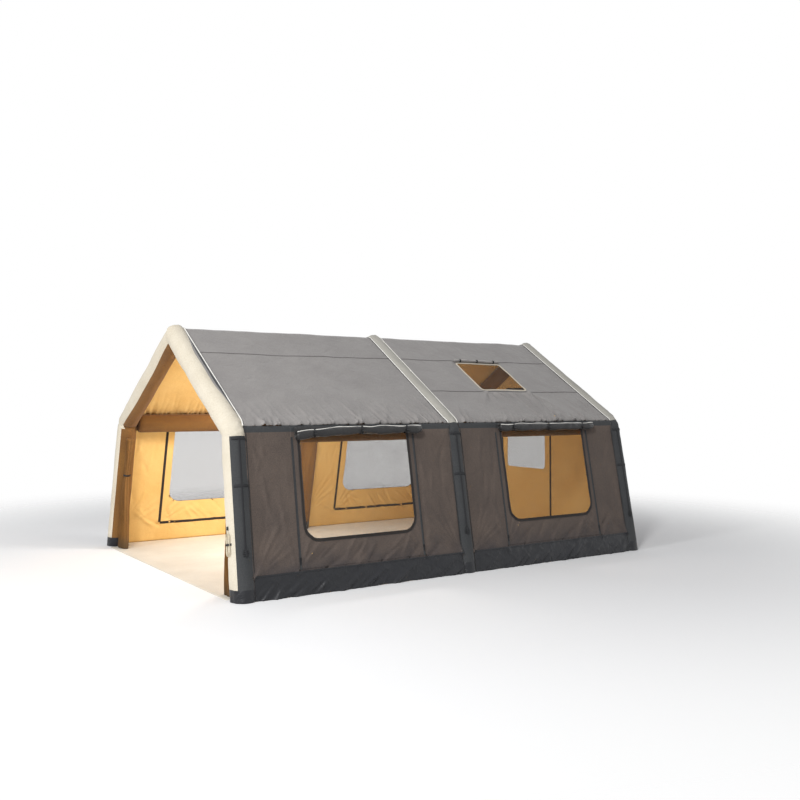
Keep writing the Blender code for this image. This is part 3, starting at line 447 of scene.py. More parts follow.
@dataclass(frozen=True)
class Painted(Finish):
    """A matt painted floor, which fades into the white far from the tent."""

    name: str
    colour: str
    fade_start: float = 3.2
    fade_end: float = 8.0

    def dress(self, graph: Graph) -> None:
        """Build the plain colour and its fade."""
        away = graph.add("VectorMath", {0: graph.place()}, operation="LENGTH")
        limits = {"From_Min": self.fade_start, "From_Max": self.fade_end}
        graph.shade(
            Base_Color=linear(self.colour),
            Roughness=0.95,
            Specular_IOR_Level=0.1,
            Alpha=graph.spread(away.outputs["Value"], True, **limits, To_Min=1.0, To_Max=0.0),
        )


# Coated on one side for rain: matt, a little mottled, with soft packing creases
ROOF_CLOTH = Cloth(
    "coated_polyester_ash", "#94908d", "#84807e", roughness=0.48, crease_depth=0.014, gloss=0.45
)
# The same cloth lapped and stitched along the seams, darkened as painted shade along each seam
# line
SEAM_SHADE_CLOTH = Cloth("coated_polyester_ash_seam_shade", "#6b6766", "#5b5757")
# The same cloth in pale stone: painted shade on the outward top of the middle and rear arches,
# the band across the roof, which makes the seams stand out
STONE_SHADE_CLOTH = Cloth("coated_polyester_stone_painted_shade", "#b9b6ad", "#a7a49b")
# Heavy plain weave round the tubes, taut, with dust at the feet
SLEEVE_CLOTH = Cloth(
    "woven_oxford_cream", "#e0d8c7", "#ccc2ae", dust_and_shade="#857d6f", crease_depth=0.012
)
# The same weave in dark slate, painted shade on the sleeve sides turned from the light: the legs'
# outer sides, the eave band and the front arch's slopes
SLATE_SHADE_CLOTH = Cloth("woven_oxford_slate_painted_shade", "#454647", "#383a3c", crease_depth=0.008)
# Wall cloth: taupe as painted shade over its tan, darkening further towards the ground as painted
# shade
TAUPE_SHADE_WALL_CLOTH = Cloth(
    "woven_oxford_taupe_painted_shade",
    "#665a52",
    "#534a45",
    dust_and_shade="#35353b",
    dust_and_shade_height=0.24,
    crease_depth=0.014,
)
# Heavier and coated on its outer face, so its creases catch a dull shine
SKIRT_CLOTH = Cloth(
    "coated_oxford_navy", "#14161d", "#0d0f14", roughness=0.40, crease_depth=0.022, gloss=0.42
)
# Uncoated inner face of the shell, tan brightened to a painted glow of sun shining through the
# cloth
LINER_GLOW_CLOTH = Cloth("woven_oxford_inner_tan_painted_glow", "#f0c880", "#e2b469", crease_depth=0.010)
# Inner face of the sleeves and the beams, a darker brown that is painted shade under the roof
BROWN_SHADE_CLOTH = Cloth("woven_oxford_brown_painted_shade", "#87602f", "#6b4827", crease_depth=0.008)
# Coated and tightly wound, so that its ridges shine
ROLL_CLOTH = Cloth(
    "coated_polyester_slate", "#2f2e2e", "#1e1e1f", roughness=0.32, crease_depth=0.020, gloss=0.35
)
# Door cloth that the sun shines through, gathered soft and unironed
DOOR_CLOTH = Cloth("woven_polyester_gold", "#8f6634", "#6e4b27", dust_and_shade="#5d4c36")
# Narrow folded tape with a tight weave, a hard edge round each opening
TRIM_CLOTH = Cloth("woven_binding_tape", "#37312d", "#292422", thread=0.003)
# Wipe-clean coating, the one smooth pale sheet, dulled by feet
FLOOR_CLOTH = Cloth("coated_groundsheet", "#e4dfd3", "#d2ccbe", roughness=0.6)
# The wall's outer and inner faces, then those of the band at its eave: taupe and slate painted
# shade outside, tan painted glow inside
BANDED_WALL = (TAUPE_SHADE_WALL_CLOTH, LINER_GLOW_CLOTH, SLATE_SHADE_CLOTH, LINER_GLOW_CLOTH)
NET = Netting("knitted_insect_net", "#4b443c")
BLACK_WEBBING = Webbing("woven_webbing_black", "#1f2024", "#101114")
COIL_ZIP = Webbing("moulded_nylon_coil", "#1b1c1f", "#050506", rib=0.003, roughness=0.45)
# Pale piping along the arch seams, also the painted highlight along the rolls' tops
PALE_PIPING_AND_GLINT = Webbing("covered_piping_pale_and_painted_glint", "#faf8f3", "#e8e5dd", rib=0.005)
GUY_CORD = Webbing("braided_guy_line", "#dcd2bc", "#b3a689", rib=0.006)
ZIP_METAL = Moulded("die_cast_zinc_painted", "#1b1c1f", 0.38, 0.6)
TOGGLE_PLASTIC = Moulded("moulded_acetal", "#101113", 0.35)
VALVE_PLASTIC = Moulded("moulded_nylon", "#1d1e20", 0.45)


# ---------------------------------------------------------------- surfaces


def surface(
    columns: int,
    rows: int,
    place: Callable[[float, float], Vector],
    size: Point = (1.0, 1.0),
    closed: bool = False,
    looped: bool = False,
    capped: bool = False,
    zone: Callable[[float, float], int] | None = None,
) -> BMesh:
    """Bend a flat grid into a surface.

    Args:
        columns: Cells across, along u.
        rows: Cells along v.
        place: Gives the place for u and v, each from 0 to 1.
        size: Real width and length, for the texture coordinates.
        closed: Whether the two ends of u meet.
        looped: Whether the two ends of v meet.
        capped: Whether open ends are filled with a flat face.
        zone: Gives the number of the finish for the middle of a face.

    Returns:
        The surface, with its texture coordinates in metres.
    """
    bm = bmesh.new()
    bmesh.ops.create_grid(bm, x_segments=columns, y_segments=rows, size=0.5)
    layer = bm.loops.layers.uv.new("UVMap")
    for face in bm.faces:
        if zone:
            middle = face.calc_center_median()
            face.material_index = zone(middle.x + 0.5, middle.y + 0.5)
        for loop in face.loops:
            u, v = loop.vert.co.x + 0.5, loop.vert.co.y + 0.5
            loop[layer].uv = (u * size[0], v * size[1])
    for vert in bm.verts:
        vert.co = place(vert.co.x + 0.5, vert.co.y + 0.5)
    if closed or looped:
        bmesh.ops.remove_doubles(bm, verts=bm.verts, dist=1e-6)
    if capped:
        edges = [edge for edge in bm.edges if edge.is_boundary]
        bmesh.ops.holes_fill(bm, edges=edges, sides=0)
    if closed:
        bmesh.ops.recalc_face_normals(bm, faces=bm.faces)
    return bm


def cut_hole(bm: BMesh, outline: Sequence[Point]) -> None:
    """Cut a convex hole out of a flat sheet that lies in the XY plane.

    Args:
        bm: The sheet.
        outline: The hole's corners, anticlockwise.
    """
    inside = list(bm.faces)
    for (x0, y0), (x1, y1) in zip(outline, (*outline[1:], outline[0])):
        normal = Vector((y1 - y0, x0 - x1, 0.0))
        if normal.length < 1e-9 or not inside:
            continue
        geom = {item for face in inside for item in (*face.verts, *face.edges, face)}
        cut = bmesh.ops.bisect_plane(
            bm, geom=list(geom), dist=1e-6, plane_co=(x0, y0, 0), plane_no=normal
        )
        faces = {item for item in cut["geom"] if isinstance(item, bmesh.types.BMFace)}
        start = Vector((x0, y0, 0))
        inside = [f for f in faces if (f.calc_center_median() - start).dot(normal) < 0]
    bmesh.ops.delete(bm, geom=inside, context="FACES")


def sheet_mesh(
    low: Point,
    high: Point,
    step: Point,
    place: Callable[[float, float], Vector],
    holes: Sequence[Sequence[Point]] = (),
    trims: Sequence[tuple[Point, Point]] = (),
    zone: Callable[[float, float], int] | None = None,
) -> BMesh:
    """Make a sheet of cloth from its flat cut.

    Args:
        low: Lower left corner of the flat cut, in metres.
        high: Upper right corner of the flat cut.
        step: Largest cell, across and up.
        place: Gives the place in the tent for a point of the flat cut.
        holes: Convex outlines that are cut out.
        trims: Lines as a point and an outward direction; what lies beyond is cut off.
        zone: Gives the number of the finish for the middle of a face.

    Returns:
        The sheet, one face thick, with its texture coordinates in metres.
    """
    width, height = high[0] - low[0], high[1] - low[1]
    bm = bmesh.new()
    bmesh.ops.create_grid(
        bm,
        x_segments=max(1, math.ceil(width / step[0])),
        y_segments=max(1, math.ceil(height / step[1])),
        size=0.5,
    )
    bmesh.ops.scale(bm, vec=(width, height, 1), verts=bm.verts)
    middle = ((low[0] + high[0]) / 2, (low[1] + high[1]) / 2, 0)
    bmesh.ops.translate(bm, vec=middle, verts=bm.verts)
    for point, outward in trims:
        bmesh.ops.bisect_plane(
            bm,
            geom=[*bm.verts, *bm.edges, *bm.faces],
            dist=1e-6,
            plane_co=(*point, 0),
            plane_no=(*outward, 0),
            clear_outer=True,
        )
    for outline in holes:
        cut_hole(bm, outline)
    layer = bm.loops.layers.uv.new("UVMap")
    for face in bm.faces:
        if zone:
            face.material_index = zone(*face.calc_center_median().xy)
        for loop in face.loops:
            loop[layer].uv = loop.vert.co.xy
    for vert in bm.verts:
        vert.co = place(vert.co.x, vert.co.y)
    return bm


def rounded(
    half_width: float, low: float, high: float, low_radius: float, high_radius: float
) -> list[Point]:
    """Outline of an upright rectangle with rounded corners.

    Args:
        half_width: Half its width.
        low: Its lower edge.
        high: Its upper edge.
        low_radius: Radius of the lower corners.
        high_radius: Radius of the upper corners.

    Returns:
        The corners, anticlockwise.
    """
    corners = (
        (half_width - low_radius, low + low_radius, low_radius, -math.pi / 2),
        (half_width - high_radius, high - high_radius, high_radius, 0.0),
        (high_radius - half_width, high - high_radius, high_radius, math.pi / 2),
        (low_radius - half_width, low + low_radius, low_radius, math.pi),
    )
    steps = 6
    points = []
    for x, y, radius, start in corners:
        for i in range(steps + 1):
            angle = start + i * math.pi / 2 / steps
            points.append((x + radius * math.cos(angle), y + radius * math.sin(angle)))
    return points


def shifted(outline: Iterable[Point], x: float) -> list[Point]:
    """Move an outline sideways by x."""
    return [(a + x, b) for a, b in outline]


def outline_area(outline: Sequence[Point]) -> float:
    """Area inside an outline."""
    pairs = zip(outline, (*outline[1:], outline[0]))
    return abs(sum(x0 * y1 - x1 * y0 for (x0, y0), (x1, y1) in pairs)) / 2


def box_of(outline: Sequence[Point]) -> tuple[Point, Point]:
    """Lower left and upper right corners round an outline."""
    across, up = zip(*outline)
    return (min(across), min(up)), (max(across), max(up))


def spaced(path: Sequence[Point], step: float, closed: bool = False) -> list[Point]:
    """Add points to a flat path so that none lie further apart than a step.

    Args:
        path: Corners of the path.
        step: Largest distance between points.
        closed: Whether the path returns to its start.

    Returns:
        The finer path. A closed one repeats its first point at the end.
    """
    ends = [*path, path[0]] if closed else list(path)
    points = [ends[0]]
    for (x0, y0), (x1, y1) in zip(ends, ends[1:]):
        long = math.hypot(x1 - x0, y1 - y0)
        if long < 1e-7:
            continue
        count = max(1, math.ceil(long / step))
        for i in range(1, count + 1):
            points.append((x0 + (x1 - x0) * i / count, y0 + (y1 - y0) * i / count))
    return points


def neighbours(path: Sequence[Any], closed: bool) -> Iterator[tuple[Any, Any]]:
    """Points before and after each point of a path; a closed one repeats its first point."""
    last = len(path) - 1
    for i in range(last + 1):
        before = path[i - 1] if i else (path[-2] if closed else path[0])
        yield before, path[i + 1] if i < last else (path[1] if closed else path[-1])


def tape(
    place: Placer,
    path: Sequence[Point],
    width: float,
    thickness: float,
    closed: bool = False,
    base: float = 0.0,
) -> BMesh:
    """Lay a tape with rounded edges along a path on a surface.

    Args:
        place: Gives the place in the tent for x, y and the height above the surface.
        path: Middle line of the tape on the surface.
        width: Width of the tape.
        thickness: Thickness of the tape.
        closed: Whether the path is a ring.
        base: Height of the tape's back above the surface.

    Returns:
        The tape as a closed body.
    """
    half = width / 2
    soft = min(thickness * 0.45, half * 0.45)
    profile = (
        (-half, soft),
        (-half + soft, 0.0),
        (half - soft, 0.0),
        (half, soft),
        (half, thickness - soft),
        (half - soft, thickness),
        (-half + soft, thickness),
        (-half, thickness - soft),
    )
    count = len(path)
    across = []
    for before, after in neighbours(path, closed):
        dx, dy = after[0] - before[0], after[1] - before[1]
        long = math.hypot(dx, dy) or 1.0
        across.append((dy / long, -dx / long))
    length = sum(math.dist(a, b) for a, b in zip(path, path[1:]))

    def at(u: float, v: float) -> Vector:
        """Place a point of the tape's profile."""
        side, height = profile[round(u * len(profile)) % len(profile)]
        i = round(v * (count - 1))
        x, y = path[i]
        nx, ny = across[i]
        return place(x + nx * side, y + ny * side, base + height)

    size = (2 * width, length)
    return surface(
        len(profile), count - 1, at, size, closed=True, looped=closed, capped=not closed
    )


def rod(
    path: Sequence[Vector],
    radius: float,
    sides: int = 8,
    closed: bool = False,
    taper: Callable[[float], float] | None = None,
) -> BMesh:
    """Sweep a round rod along a path.

    Args:
        path: Points of its centre line.
        radius: Its radius.
        sides: Sides round it.
        closed: Whether the path is a ring, its first point repeated at the end.
        taper: Gives the share of the radius from 0 at the start to 1 at the end.

    Returns:
        The rod as a closed body.
    """
    count = len(path)
    frames = []
    across = None
    for centre, (before, after) in zip(path, neighbours(path, closed)):
        along = (after - before).normalized()
        if across is None:
            across = along.orthogonal().normalized()
        across = (across - along * across.dot(along)).normalized()
        frames.append((centre, across.copy(), along.cross(across)))
    if closed:
        frames[-1] = frames[0]
    length = sum((b - a).length for a, b in zip(path, path[1:]))

    def at(u: float, v: float) -> Vector:
        """Place a point of the rod's skin."""
        centre, first, second = frames[round(v * (count - 1))]
        angle = 2 * math.pi * u
        reach = radius * (taper(v) if taper else 1.0)
        return centre + reach * (first * math.cos(angle) + second * math.sin(angle))

    size = (2 * math.pi * radius, length)
    return surface(sides, count - 1, at, size, closed=True, looped=closed, capped=not closed)


def joined(meshes: Iterable[BMesh]) -> BMesh:
    """Put several bodies into one mesh.

    Args:
        meshes: The bodies, which are freed.

    Returns:
        One mesh with all of them.
    """
    whole = bmesh.new()
    whole.loops.layers.uv.new("UVMap")
    for bm in meshes:
        mesh = bpy.data.meshes.new("passing")
        bm.to_mesh(mesh)
        bm.free()
        whole.from_mesh(mesh)
        bpy.data.meshes.remove(mesh)
    return whole


def piece(
    name: str,
    bm: BMesh,
    finishes: Sequence[Finish],
    body: str,
    slot: str,
    replaces: Sequence[str] = (),
    thickness: float = 0.0,
    lined: bool = False,
) -> bpy.types.Object:
    """Turn a mesh into a finished piece of the tent.

    Args:
        name: Name of the piece.
        bm: Its mesh, in place.
        finishes: Its finishes.
        body: Body that it rides on.
        slot: Material slot of the record that it stands for; not used.
        replaces: Nodes of the frame that it replaces.
        thickness: Thickness of a sheet, or zero for a closed body.
        lined: Whether the inner face takes the finish that follows the outer one's.

    Returns:
        The new object.
    """
    for face in bm.faces:
        face.smooth = True
    mesh = bpy.data.meshes.new(name)
    bm.to_mesh(mesh)
    bm.free()
    mesh.set_sharp_from_angle(angle=math.radians(50))
    for finish in finishes:
        mesh.materials.append(finish.material())
    obj = bpy.data.objects.new(name, mesh)
    bpy.context.scene.collection.objects.link(obj)
    if thickness:
        shell = obj.modifiers.new("cloth thickness", "SOLIDIFY")
        shell.thickness = thickness
        shell.offset = -1
        shell.use_even_offset = False
        if lined:
            shell.material_offset = 1
    if replaces:
        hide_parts(*replaces)
    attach(obj, body)
    LOG.info("%s: %d faces on %s", name, len(mesh.polygons), body)
    return obj


def refinish(node: str, finish: Finish) -> None:
    """Give a node of the frame that stays shown its finish."""
    obj = bpy.data.objects[node]
    for slot in obj.material_slots:
        slot.material = finish.material()
    LOG.info("%s: kept, finished as %s", node, finish.name)


# ---------------------------------------------------------------- folds


@dataclass(frozen=True)
class Fold:
    """A crease in a sheet: a low ridge along a line of the flat cut.

    A pinned fold is highest at its start and dies out towards its end.
    """

    start: Point
    end: Point
    width: float
    depth: float
    pinned: bool = True

    def lift(self, x: float, y: float) -> float:
        """Height of the crease at a point.

        Args:
            x: Place across the flat cut.
            y: Place up the flat cut.

        Returns:
            Its height, positive outwards.
        """
        dx, dy = self.end[0] - self.start[0], self.end[1] - self.start[1]
        long = math.hypot(dx, dy)
        px, py = x - self.start[0], y - self.start[1]
        away = (px * dy - py * dx) / long
        if abs(away) > 4 * self.width:
            return 0.0
        share = (px * dx + py * dy) / long**2
        if not -0.1 < share < 1:
            return 0.0
        if self.pinned:
            fade = (1 - share) ** 1.5 * min(1.0, (share + 0.1) / 0.1)
        else:
            fade = math.sin(math.pi * (share + 0.1) / 1.1) ** 2
        spread = self.width * (0.6 + 0.8 * max(share, 0.0))
        return self.depth * fade * math.exp(-(abs(away / spread) ** 1.4))


@dataclass
class Relief:
    """Folds and soft waves of a sheet, which calm down round the given places."""

    folds: list[Fold] = field(default_factory=list)
    wave: float = 0.002
    wave_size: float = 0.45
    seed: float = 0.0
    calm: list[Point] = field(default_factory=list)
    calm_reach: float = 0.05

    def at(self, x: float, y: float) -> float:
        """Height of the sheet above its smooth form.

        Args:
            x: Place across the flat cut.
            y: Place up the flat cut.

        Returns:
            Its height, positive outwards.
        """
        place = Vector((x / self.wave_size, y / self.wave_size, self.seed))
        height = self.wave * (noise.noise(place) + 0.4 * noise.noise(place * 2.7))
        for fold in self.folds:
            height += fold.lift(x, y)
        for quiet in self.calm:
            away = math.dist((x, y), quiet) / self.calm_reach
            height *= 1 - math.exp(-(away**4))
        return height


def fan(
    rng: random.Random,
    corner: Point,
    angles: Point,
    lengths: Point,
    count: int,
    depth: float,
    width: float = 0.016,
) -> list[Fold]:
    """Folds that fan out from a place where the cloth is pulled.

    Args:
        rng: Source of the small differences.
        corner: Where they start.
        angles: First and last direction, in degrees from the flat cut's x.
        lengths: Shortest and longest fold.
        count: How many.
        depth: Height of the folds.
        width: Half width of the folds.

    Returns:
        The folds.
    """
    folds = []
    for i in range(count):
        share = (i + rng.uniform(0.2, 0.8)) / count
        angle = math.radians(angles[0] + (angles[1] - angles[0]) * share)
        length = rng.uniform(*lengths)
        end = (corner[0] + length * math.cos(angle), corner[1] + length * math.sin(angle))
        sign = 1 if i % 2 == 0 else -0.7
        folds.append(Fold(corner, end, width * rng.uniform(0.7, 1.2), depth * sign))
    return folds


def ripple(x: float, y: float, z: float) -> float:
    """Smooth noise at a place, between -1 and 1."""
    return noise.noise(Vector((x, y, z)))


def smooth(value: float) -> float:
    """Ease a value between 0 and 1."""
    value = min(max(value, 0.0), 1.0)
    return value * value * (3 - 2 * value)


# ---------------------------------------------------------------- section


@dataclass(frozen=True)
class Section:
    """The cloth's line across the tent, over the beams, at the cloth's outer face.

    q runs along the line from the ridge, negative on the near side.
    """

    radius: float = BEAM_DEPTH - CLOTH_OUTER_DEPTH
    up: float = WALL_RUN - BEAM_DEPTH * math.tan(EAVE_BEND / 2)

    @property
    def eave_centre(self) -> Point:
        """Middle of the near eave beam."""
        sin, cos = math.sin(WALL_TILT), math.cos(WALL_TILT)
        x = FOOT_HALF_WIDTH - self.up * sin - BEAM_DEPTH * cos
        return x, self.up * cos - BEAM_DEPTH * sin

    @property
    def ridge_centre(self) -> Point:
        """Middle of the ridge beam."""
        return 0.0, RIDGE_HEIGHT - BEAM_DEPTH / math.cos(ROOF_SLOPE)

    @property
    def ridge_turn(self) -> float:
        """Length of half the bend over the ridge."""
        return self.radius * ROOF_SLOPE

    @property
    def slope_run(self) -> float:
        """Length of the straight slope."""
        return math.dist(self.eave_centre, self.ridge_centre)

    @property
    def eave_turn(self) -> float:
        """Length of the bend over an eave."""
        return self.radius * EAVE_BEND

    @property
    def eave(self) -> float:
        """q at the middle of the eave's bend, where roof and wall cloth meet."""
        return self.ridge_turn + self.slope_run + self.eave_turn / 2

    @property
    def eave_up(self) -> float:
        """Place up the wall's cut of the seam with the roof."""
        return self.up + self.eave_turn / 2

    def wall_q(self, v: float) -> float:
        """q for a place up the wall."""
        return self.ridge_turn + self.slope_run + self.eave_turn + self.up - v

    def roof_q(self, v: float) -> float:
        """q for a place up the roof from the eave's corner."""
        return self.ridge_turn + ROOF_RUN - BEAM_DEPTH * math.tan(ROOF_SLOPE) - v

    def at(self, q: float, lift: float = 0.0) -> Point:
        """Place on the line.

        Args:
            q: Distance from the ridge, negative on the near side.
            lift: Height above the cloth.

        Returns:
            The place across the tent and its height.
        """
        way = abs(q)
        slope_end = self.ridge_turn + self.slope_run
        bend_end = slope_end + self.eave_turn
        run = 0.0
        if way <= self.ridge_turn:
            centre, turn = self.ridge_centre, way / self.radius
        elif way <= slope_end:
            centre, turn, run = self.ridge_centre, ROOF_SLOPE, way - self.ridge_turn
        elif way <= bend_end:
            centre, turn = self.eave_centre, ROOF_SLOPE + (way - slope_end) / self.radius
        else:
            centre, turn, run = self.eave_centre, math.pi / 2 - WALL_TILT, way - bend_end
        sin, cos = math.sin(turn), math.cos(turn)
        reach = self.radius + lift
        x = centre[0] + reach * sin + run * cos
        z = centre[1] + reach * cos - run * sin
        return (x if q < 0 else -x), z


SECTION = Section()


def over_beam(rise: float, away: float) -> float:
    """Keep a cloth's relief out of the beam under it, less so further away from the beam."""
    return max(rise, -BEAM_GIVE - BEAM_GIVE_SLOPE * max(0.0, away))


def wall_placer(side: Side, bay: Bay, relief: Relief | None = None) -> Placer:
    """Placing of a wall's cloth, which bends over the eave beam.

    Args:
        side: Side of the tent.
        bay: Bay of the tent.
        relief: Its folds.

    Returns:
        A function from x along the wall, y up it and height above it to a place.
    """

    def place(x: float, y: float, lift: float = 0.0) -> Vector:
        """Place a point of the wall's flat cut."""
        rise = over_beam(relief.at(x, y), SECTION.eave_up - 0.20 - y) if relief else 0.0
        across, height = SECTION.at(-side.value * SECTION.wall_q(y), lift + rise)
        return Vector((across, bay.middle + side.value * x, max(height, HEM_HEIGHT)))

    return place


def axes_matrix(*columns: Sequence[float]) -> Matrix:
    """Matrix of a frame from its three axes and its origin."""
    return Matrix((*zip(*columns), (0, 0, 0, 1)))


def wall_matrix(side: Side, y: float, depth: float = 0.0) -> Matrix:
    """Frame on a wall at the ground: along it, up it and outward.

    Args:
        side: Side of the tent.
        y: Place along the tent.
        depth: Depth inside the tent's outer line.

    Returns:
        The matrix of the frame.
    """
    sin, cos, sign = math.sin(WALL_TILT), math.cos(WALL_TILT), side.value
    along, up, out = (0, sign, 0), (-sign * sin, 0, cos), (sign * cos, 0, sin)
    origin = (sign * (FOOT_HALF_WIDTH - depth * cos), y, -depth * sin)
    return axes_matrix(along, up, out, origin)


def plane_placer(matrix: Matrix) -> Placer:
    """Placing on a flat plane given by its matrix."""
    return lambda x, y, lift=0.0: matrix @ Vector((x, y, lift))


# ---------------------------------------------------------------- arches


class SleevePart(IntEnum):
    """Parts of a sleeve by colour, numbered as its finishes; slate, brown, stone and ash are
    painted shade on the cream.
    """

    CREAM = 0
    SLATE = 1
    BROWN = 2
    STONE = 3
    NAVY = 4
    ASH = 5


@dataclass(frozen=True)
class Station:
    """A ring's place along an arch: its stretch, its share of it and its direction."""

    kind: str
    share: float
    turn: float


@dataclass
class Arch:
    """An air tube in its sewn sleeve, with webbing on each leg."""

    place: ArchPlace
    sides: int = 48
    leg_rings: int = 40
    eave_rings: int = 14
    slope_rings: int = 44
    ridge_rings: int = 8
    dark_foot: float = 0.085
    taper_share: float = 0.35
    slope_edge: float = math.radians(-2)
    slope_end: float = math.radians(-38)
    strap_width: float = 0.018
    strap_foot: float = 0.400
    strap_thickness: float = 0.003
    tab_half_angle: float = math.radians(36)
    tab_height: float = 0.024
    high_tab: float = WALL_RUN - 0.134
    tab_spacing: float = 0.398
    bundle_half_width: float = 0.034
    bundle_step: float = 0.018
    fine_depth: float = 0.0030
    long_depth: float = 0.0058
    pleat_depth: float = 0.0135
    middle_line: list[Point] = field(default_factory=list)

    def __post_init__(self) -> None:
        """Sample the tube's middle line, for finding the seams."""
        points = [Vector(self.line(station, 0.0)) for station in self.stations()]
        for first, second in zip(points, points[1:]):
            for i in range(8):
                self.middle_line.append(tuple(first.lerp(second, i / 8)))

    @property
    def eave_centre(self) -> Point:
        """Middle of the eave's bend."""
        depth = ARCH_RADIUS + EAVE_BEND_RADIUS
        up = WALL_RUN - depth * math.tan(EAVE_BEND / 2)
        sin, cos = math.sin(WALL_TILT), math.cos(WALL_TILT)
        return FOOT_HALF_WIDTH - up * sin - depth * cos, up * cos - depth * sin

    def stations(self) -> list[Station]:
        """Rings of the near half, from the foot to the ridge."""
        upright = math.pi / 2 - WALL_TILT
        rings = [Station("leg", i / self.leg_rings, upright) for i in range(self.leg_rings)]
        for i in range(self.eave_rings):
            share = i / self.eave_rings
            rings.append(Station("eave", share, upright - share * EAVE_BEND))
        for i in range(self.slope_rings):
            rings.append(Station("slope", i / self.slope_rings, ROOF_SLOPE))
        for i in range(self.ridge_rings + 1):
            share = i / self.ridge_rings
            rings.append(Station("ridge", share, ROOF_SLOPE * (1 - share)))
        return rings

    def line(self, station: Station, out: float) -> Point:
        """Place in the section at a distance out from the tube's middle.

        Args:
            station: Place along the arch.
            out: Distance outward from the middle line.

        Returns:
            The place across the tent and its height, on the near side.
        """
        reach = EAVE_BEND_RADIUS + out
        x, z = self.eave_centre
        if station.kind == "eave":
            return x + reach * math.sin(station.turn), z + reach * math.cos(station.turn)
        if station.kind == "leg":
            sin, cos = math.sin(station.turn), math.cos(station.turn)
            top = Vector((x + reach * sin, z + reach * cos))
            run = (top.y - HEM_HEIGHT) / sin
            return tuple(Vector((top.x + run * cos, HEM_HEIGHT)).lerp(top, station.share))
        tip = out + RIDGE_BEND_DEPTH - ARCH_RADIUS
        end = Vector((0.0, RIDGE_HEIGHT - RIDGE_BEND_DEPTH / math.cos(ROOF_SLOPE)))
        if tip <= 0:
            end.y += tip / math.cos(ROOF_SLOPE)
        else:
            end += tip * Vector((math.sin(station.turn), math.cos(station.turn)))
        if station.kind == "ridge":
            return tuple(end)
        low = Vector((x + reach * math.sin(ROOF_SLOPE), z + reach * math.cos(ROOF_SLOPE)))
        return tuple(low.lerp(end, station.share))

    def crumple(self, station: Station, angle: float, way: float) -> float:
        """Height of the sleeve's wrinkles.

        Args:
            station: Place along the arch.
            angle: Direction round the tube, zero outward.
            way: Distance along the arch, for the pattern.

        Returns:
            The height, mostly inward where the tube bends.
        """
        sin, cos = math.sin(angle), math.cos(angle)
        fine = ripple(cos * 2.6 + way * 7.0, sin * 2.6, way * 16.0)
        bend = 0.0
        if station.kind == "eave":
            bend = 0.25 + 0.75 * math.sin(math.pi * station.share)
        elif station.kind == "ridge":
            bend = 1.0
        elif station.kind == "slope":
            bend = 0.35 * max(0.0, 1 - station.share * 5) + max(0.0, station.share * 14 - 13)
        elif station.share > 0.88:
            bend = 0.25 * (station.share - 0.88) / 0.12
        long = ripple(cos * 2.3, sin * 2.3 + way * 1.5, way * 3.2)
        pleat = ripple(cos * 1.5, sin * 1.5, way * 32)
        inward = 0.6 + 0.4 * (1 - cos) / 2
        taut = 0.5 if station.kind == "leg" and cos > 0.6 else 1.0
        wrinkles = self.fine_depth * (0.5 + min(2.0 * bend, 1.5)) * fine
        wrinkles += self.long_depth * taut * (long - 0.3)
        return wrinkles - bend * inward * self.pleat_depth * (0.5 + pleat)

    def dark_edge(self, station: Station) -> float:
        """Angle from the front edge of the painted-shade panel to outward; it tapers on the front
        slopes.
        """
        if self.place is not ArchPlace.FRONT or station.kind == "leg":
            return SEAM_ANGLE
        if station.kind == "eave":
            return SEAM_ANGLE + (self.slope_end - SEAM_ANGLE) * station.share
        ends = min(station.share, 1 - station.share) if station.kind == "slope" else 0.0
        rise = smooth(ends / self.taper_share)
        return self.slope_end + (self.slope_edge - self.slope_end) * rise

    def turned(self, station: Station, angle: float) -> float:
        """Shift the mesh's columns so that one follows the edge of the painted-shade panel.

        Args:
            station: Place along the arch.
            angle: Direction of the column where the panel has its full width.

        Returns:
            The column's direction at this ring.
        """
        edge = self.dark_edge(station)
        if angle < -SEAM_ANGLE:
            share = (angle + SEAM_ANGLE) / (math.pi - SEAM_ANGLE)
            return -edge + share * (math.pi - edge)
        if angle < SEAM_ANGLE:
            share = (angle + SEAM_ANGLE) / (2 * SEAM_ANGLE)
            return -edge + share * (SEAM_ANGLE + edge)
        return angle

    def finish_at(self, station: Station, angle: float) -> SleevePart:
        """Part of the sleeve that a place lies in.

        Args:
            station: Place along the arch.
            angle: Column's direction, zero outward and positive to the rear.

        Returns:
            The part.
        """
        front = self.place is ArchPlace.FRONT
        if station.kind == "leg" and station.share < self.dark_foot / EAVE_HEIGHT:
            return SleevePart.NAVY
        if abs(angle) < SEAM_ANGLE:
            # The outer side of every leg is slate painted shade
            if station.kind == "leg":
                return SleevePart.SLATE
            # Middle and rear arches' outer side: slate painted shade low on the eave, pale stone
            # painted shade above it
            if not front:
                low = station.kind == "eave" and station.share < 0.45
                return SleevePart.SLATE if low else SleevePart.STONE
            if station.kind != "slope":
                return SleevePart.CREAM
            # On the front arch's slopes the painted shade grades from roof grey at the front to
            # slate at the rear
            return SleevePart.ASH if angle < -SEAM_ANGLE / 3 else SleevePart.SLATE
        # Faces turned into the tent take brown painted shade; the rest stays cream
        limit = math.radians(128 if station.kind == "leg" else 148)
        inner = {
            ArchPlace.FRONT: angle > 0 or angle < -limit,
            ArchPlace.MID: True,
            ArchPlace.REAR: angle < 0,
        }
        return SleevePart.BROWN if inner[self.place] else SleevePart.CREAM

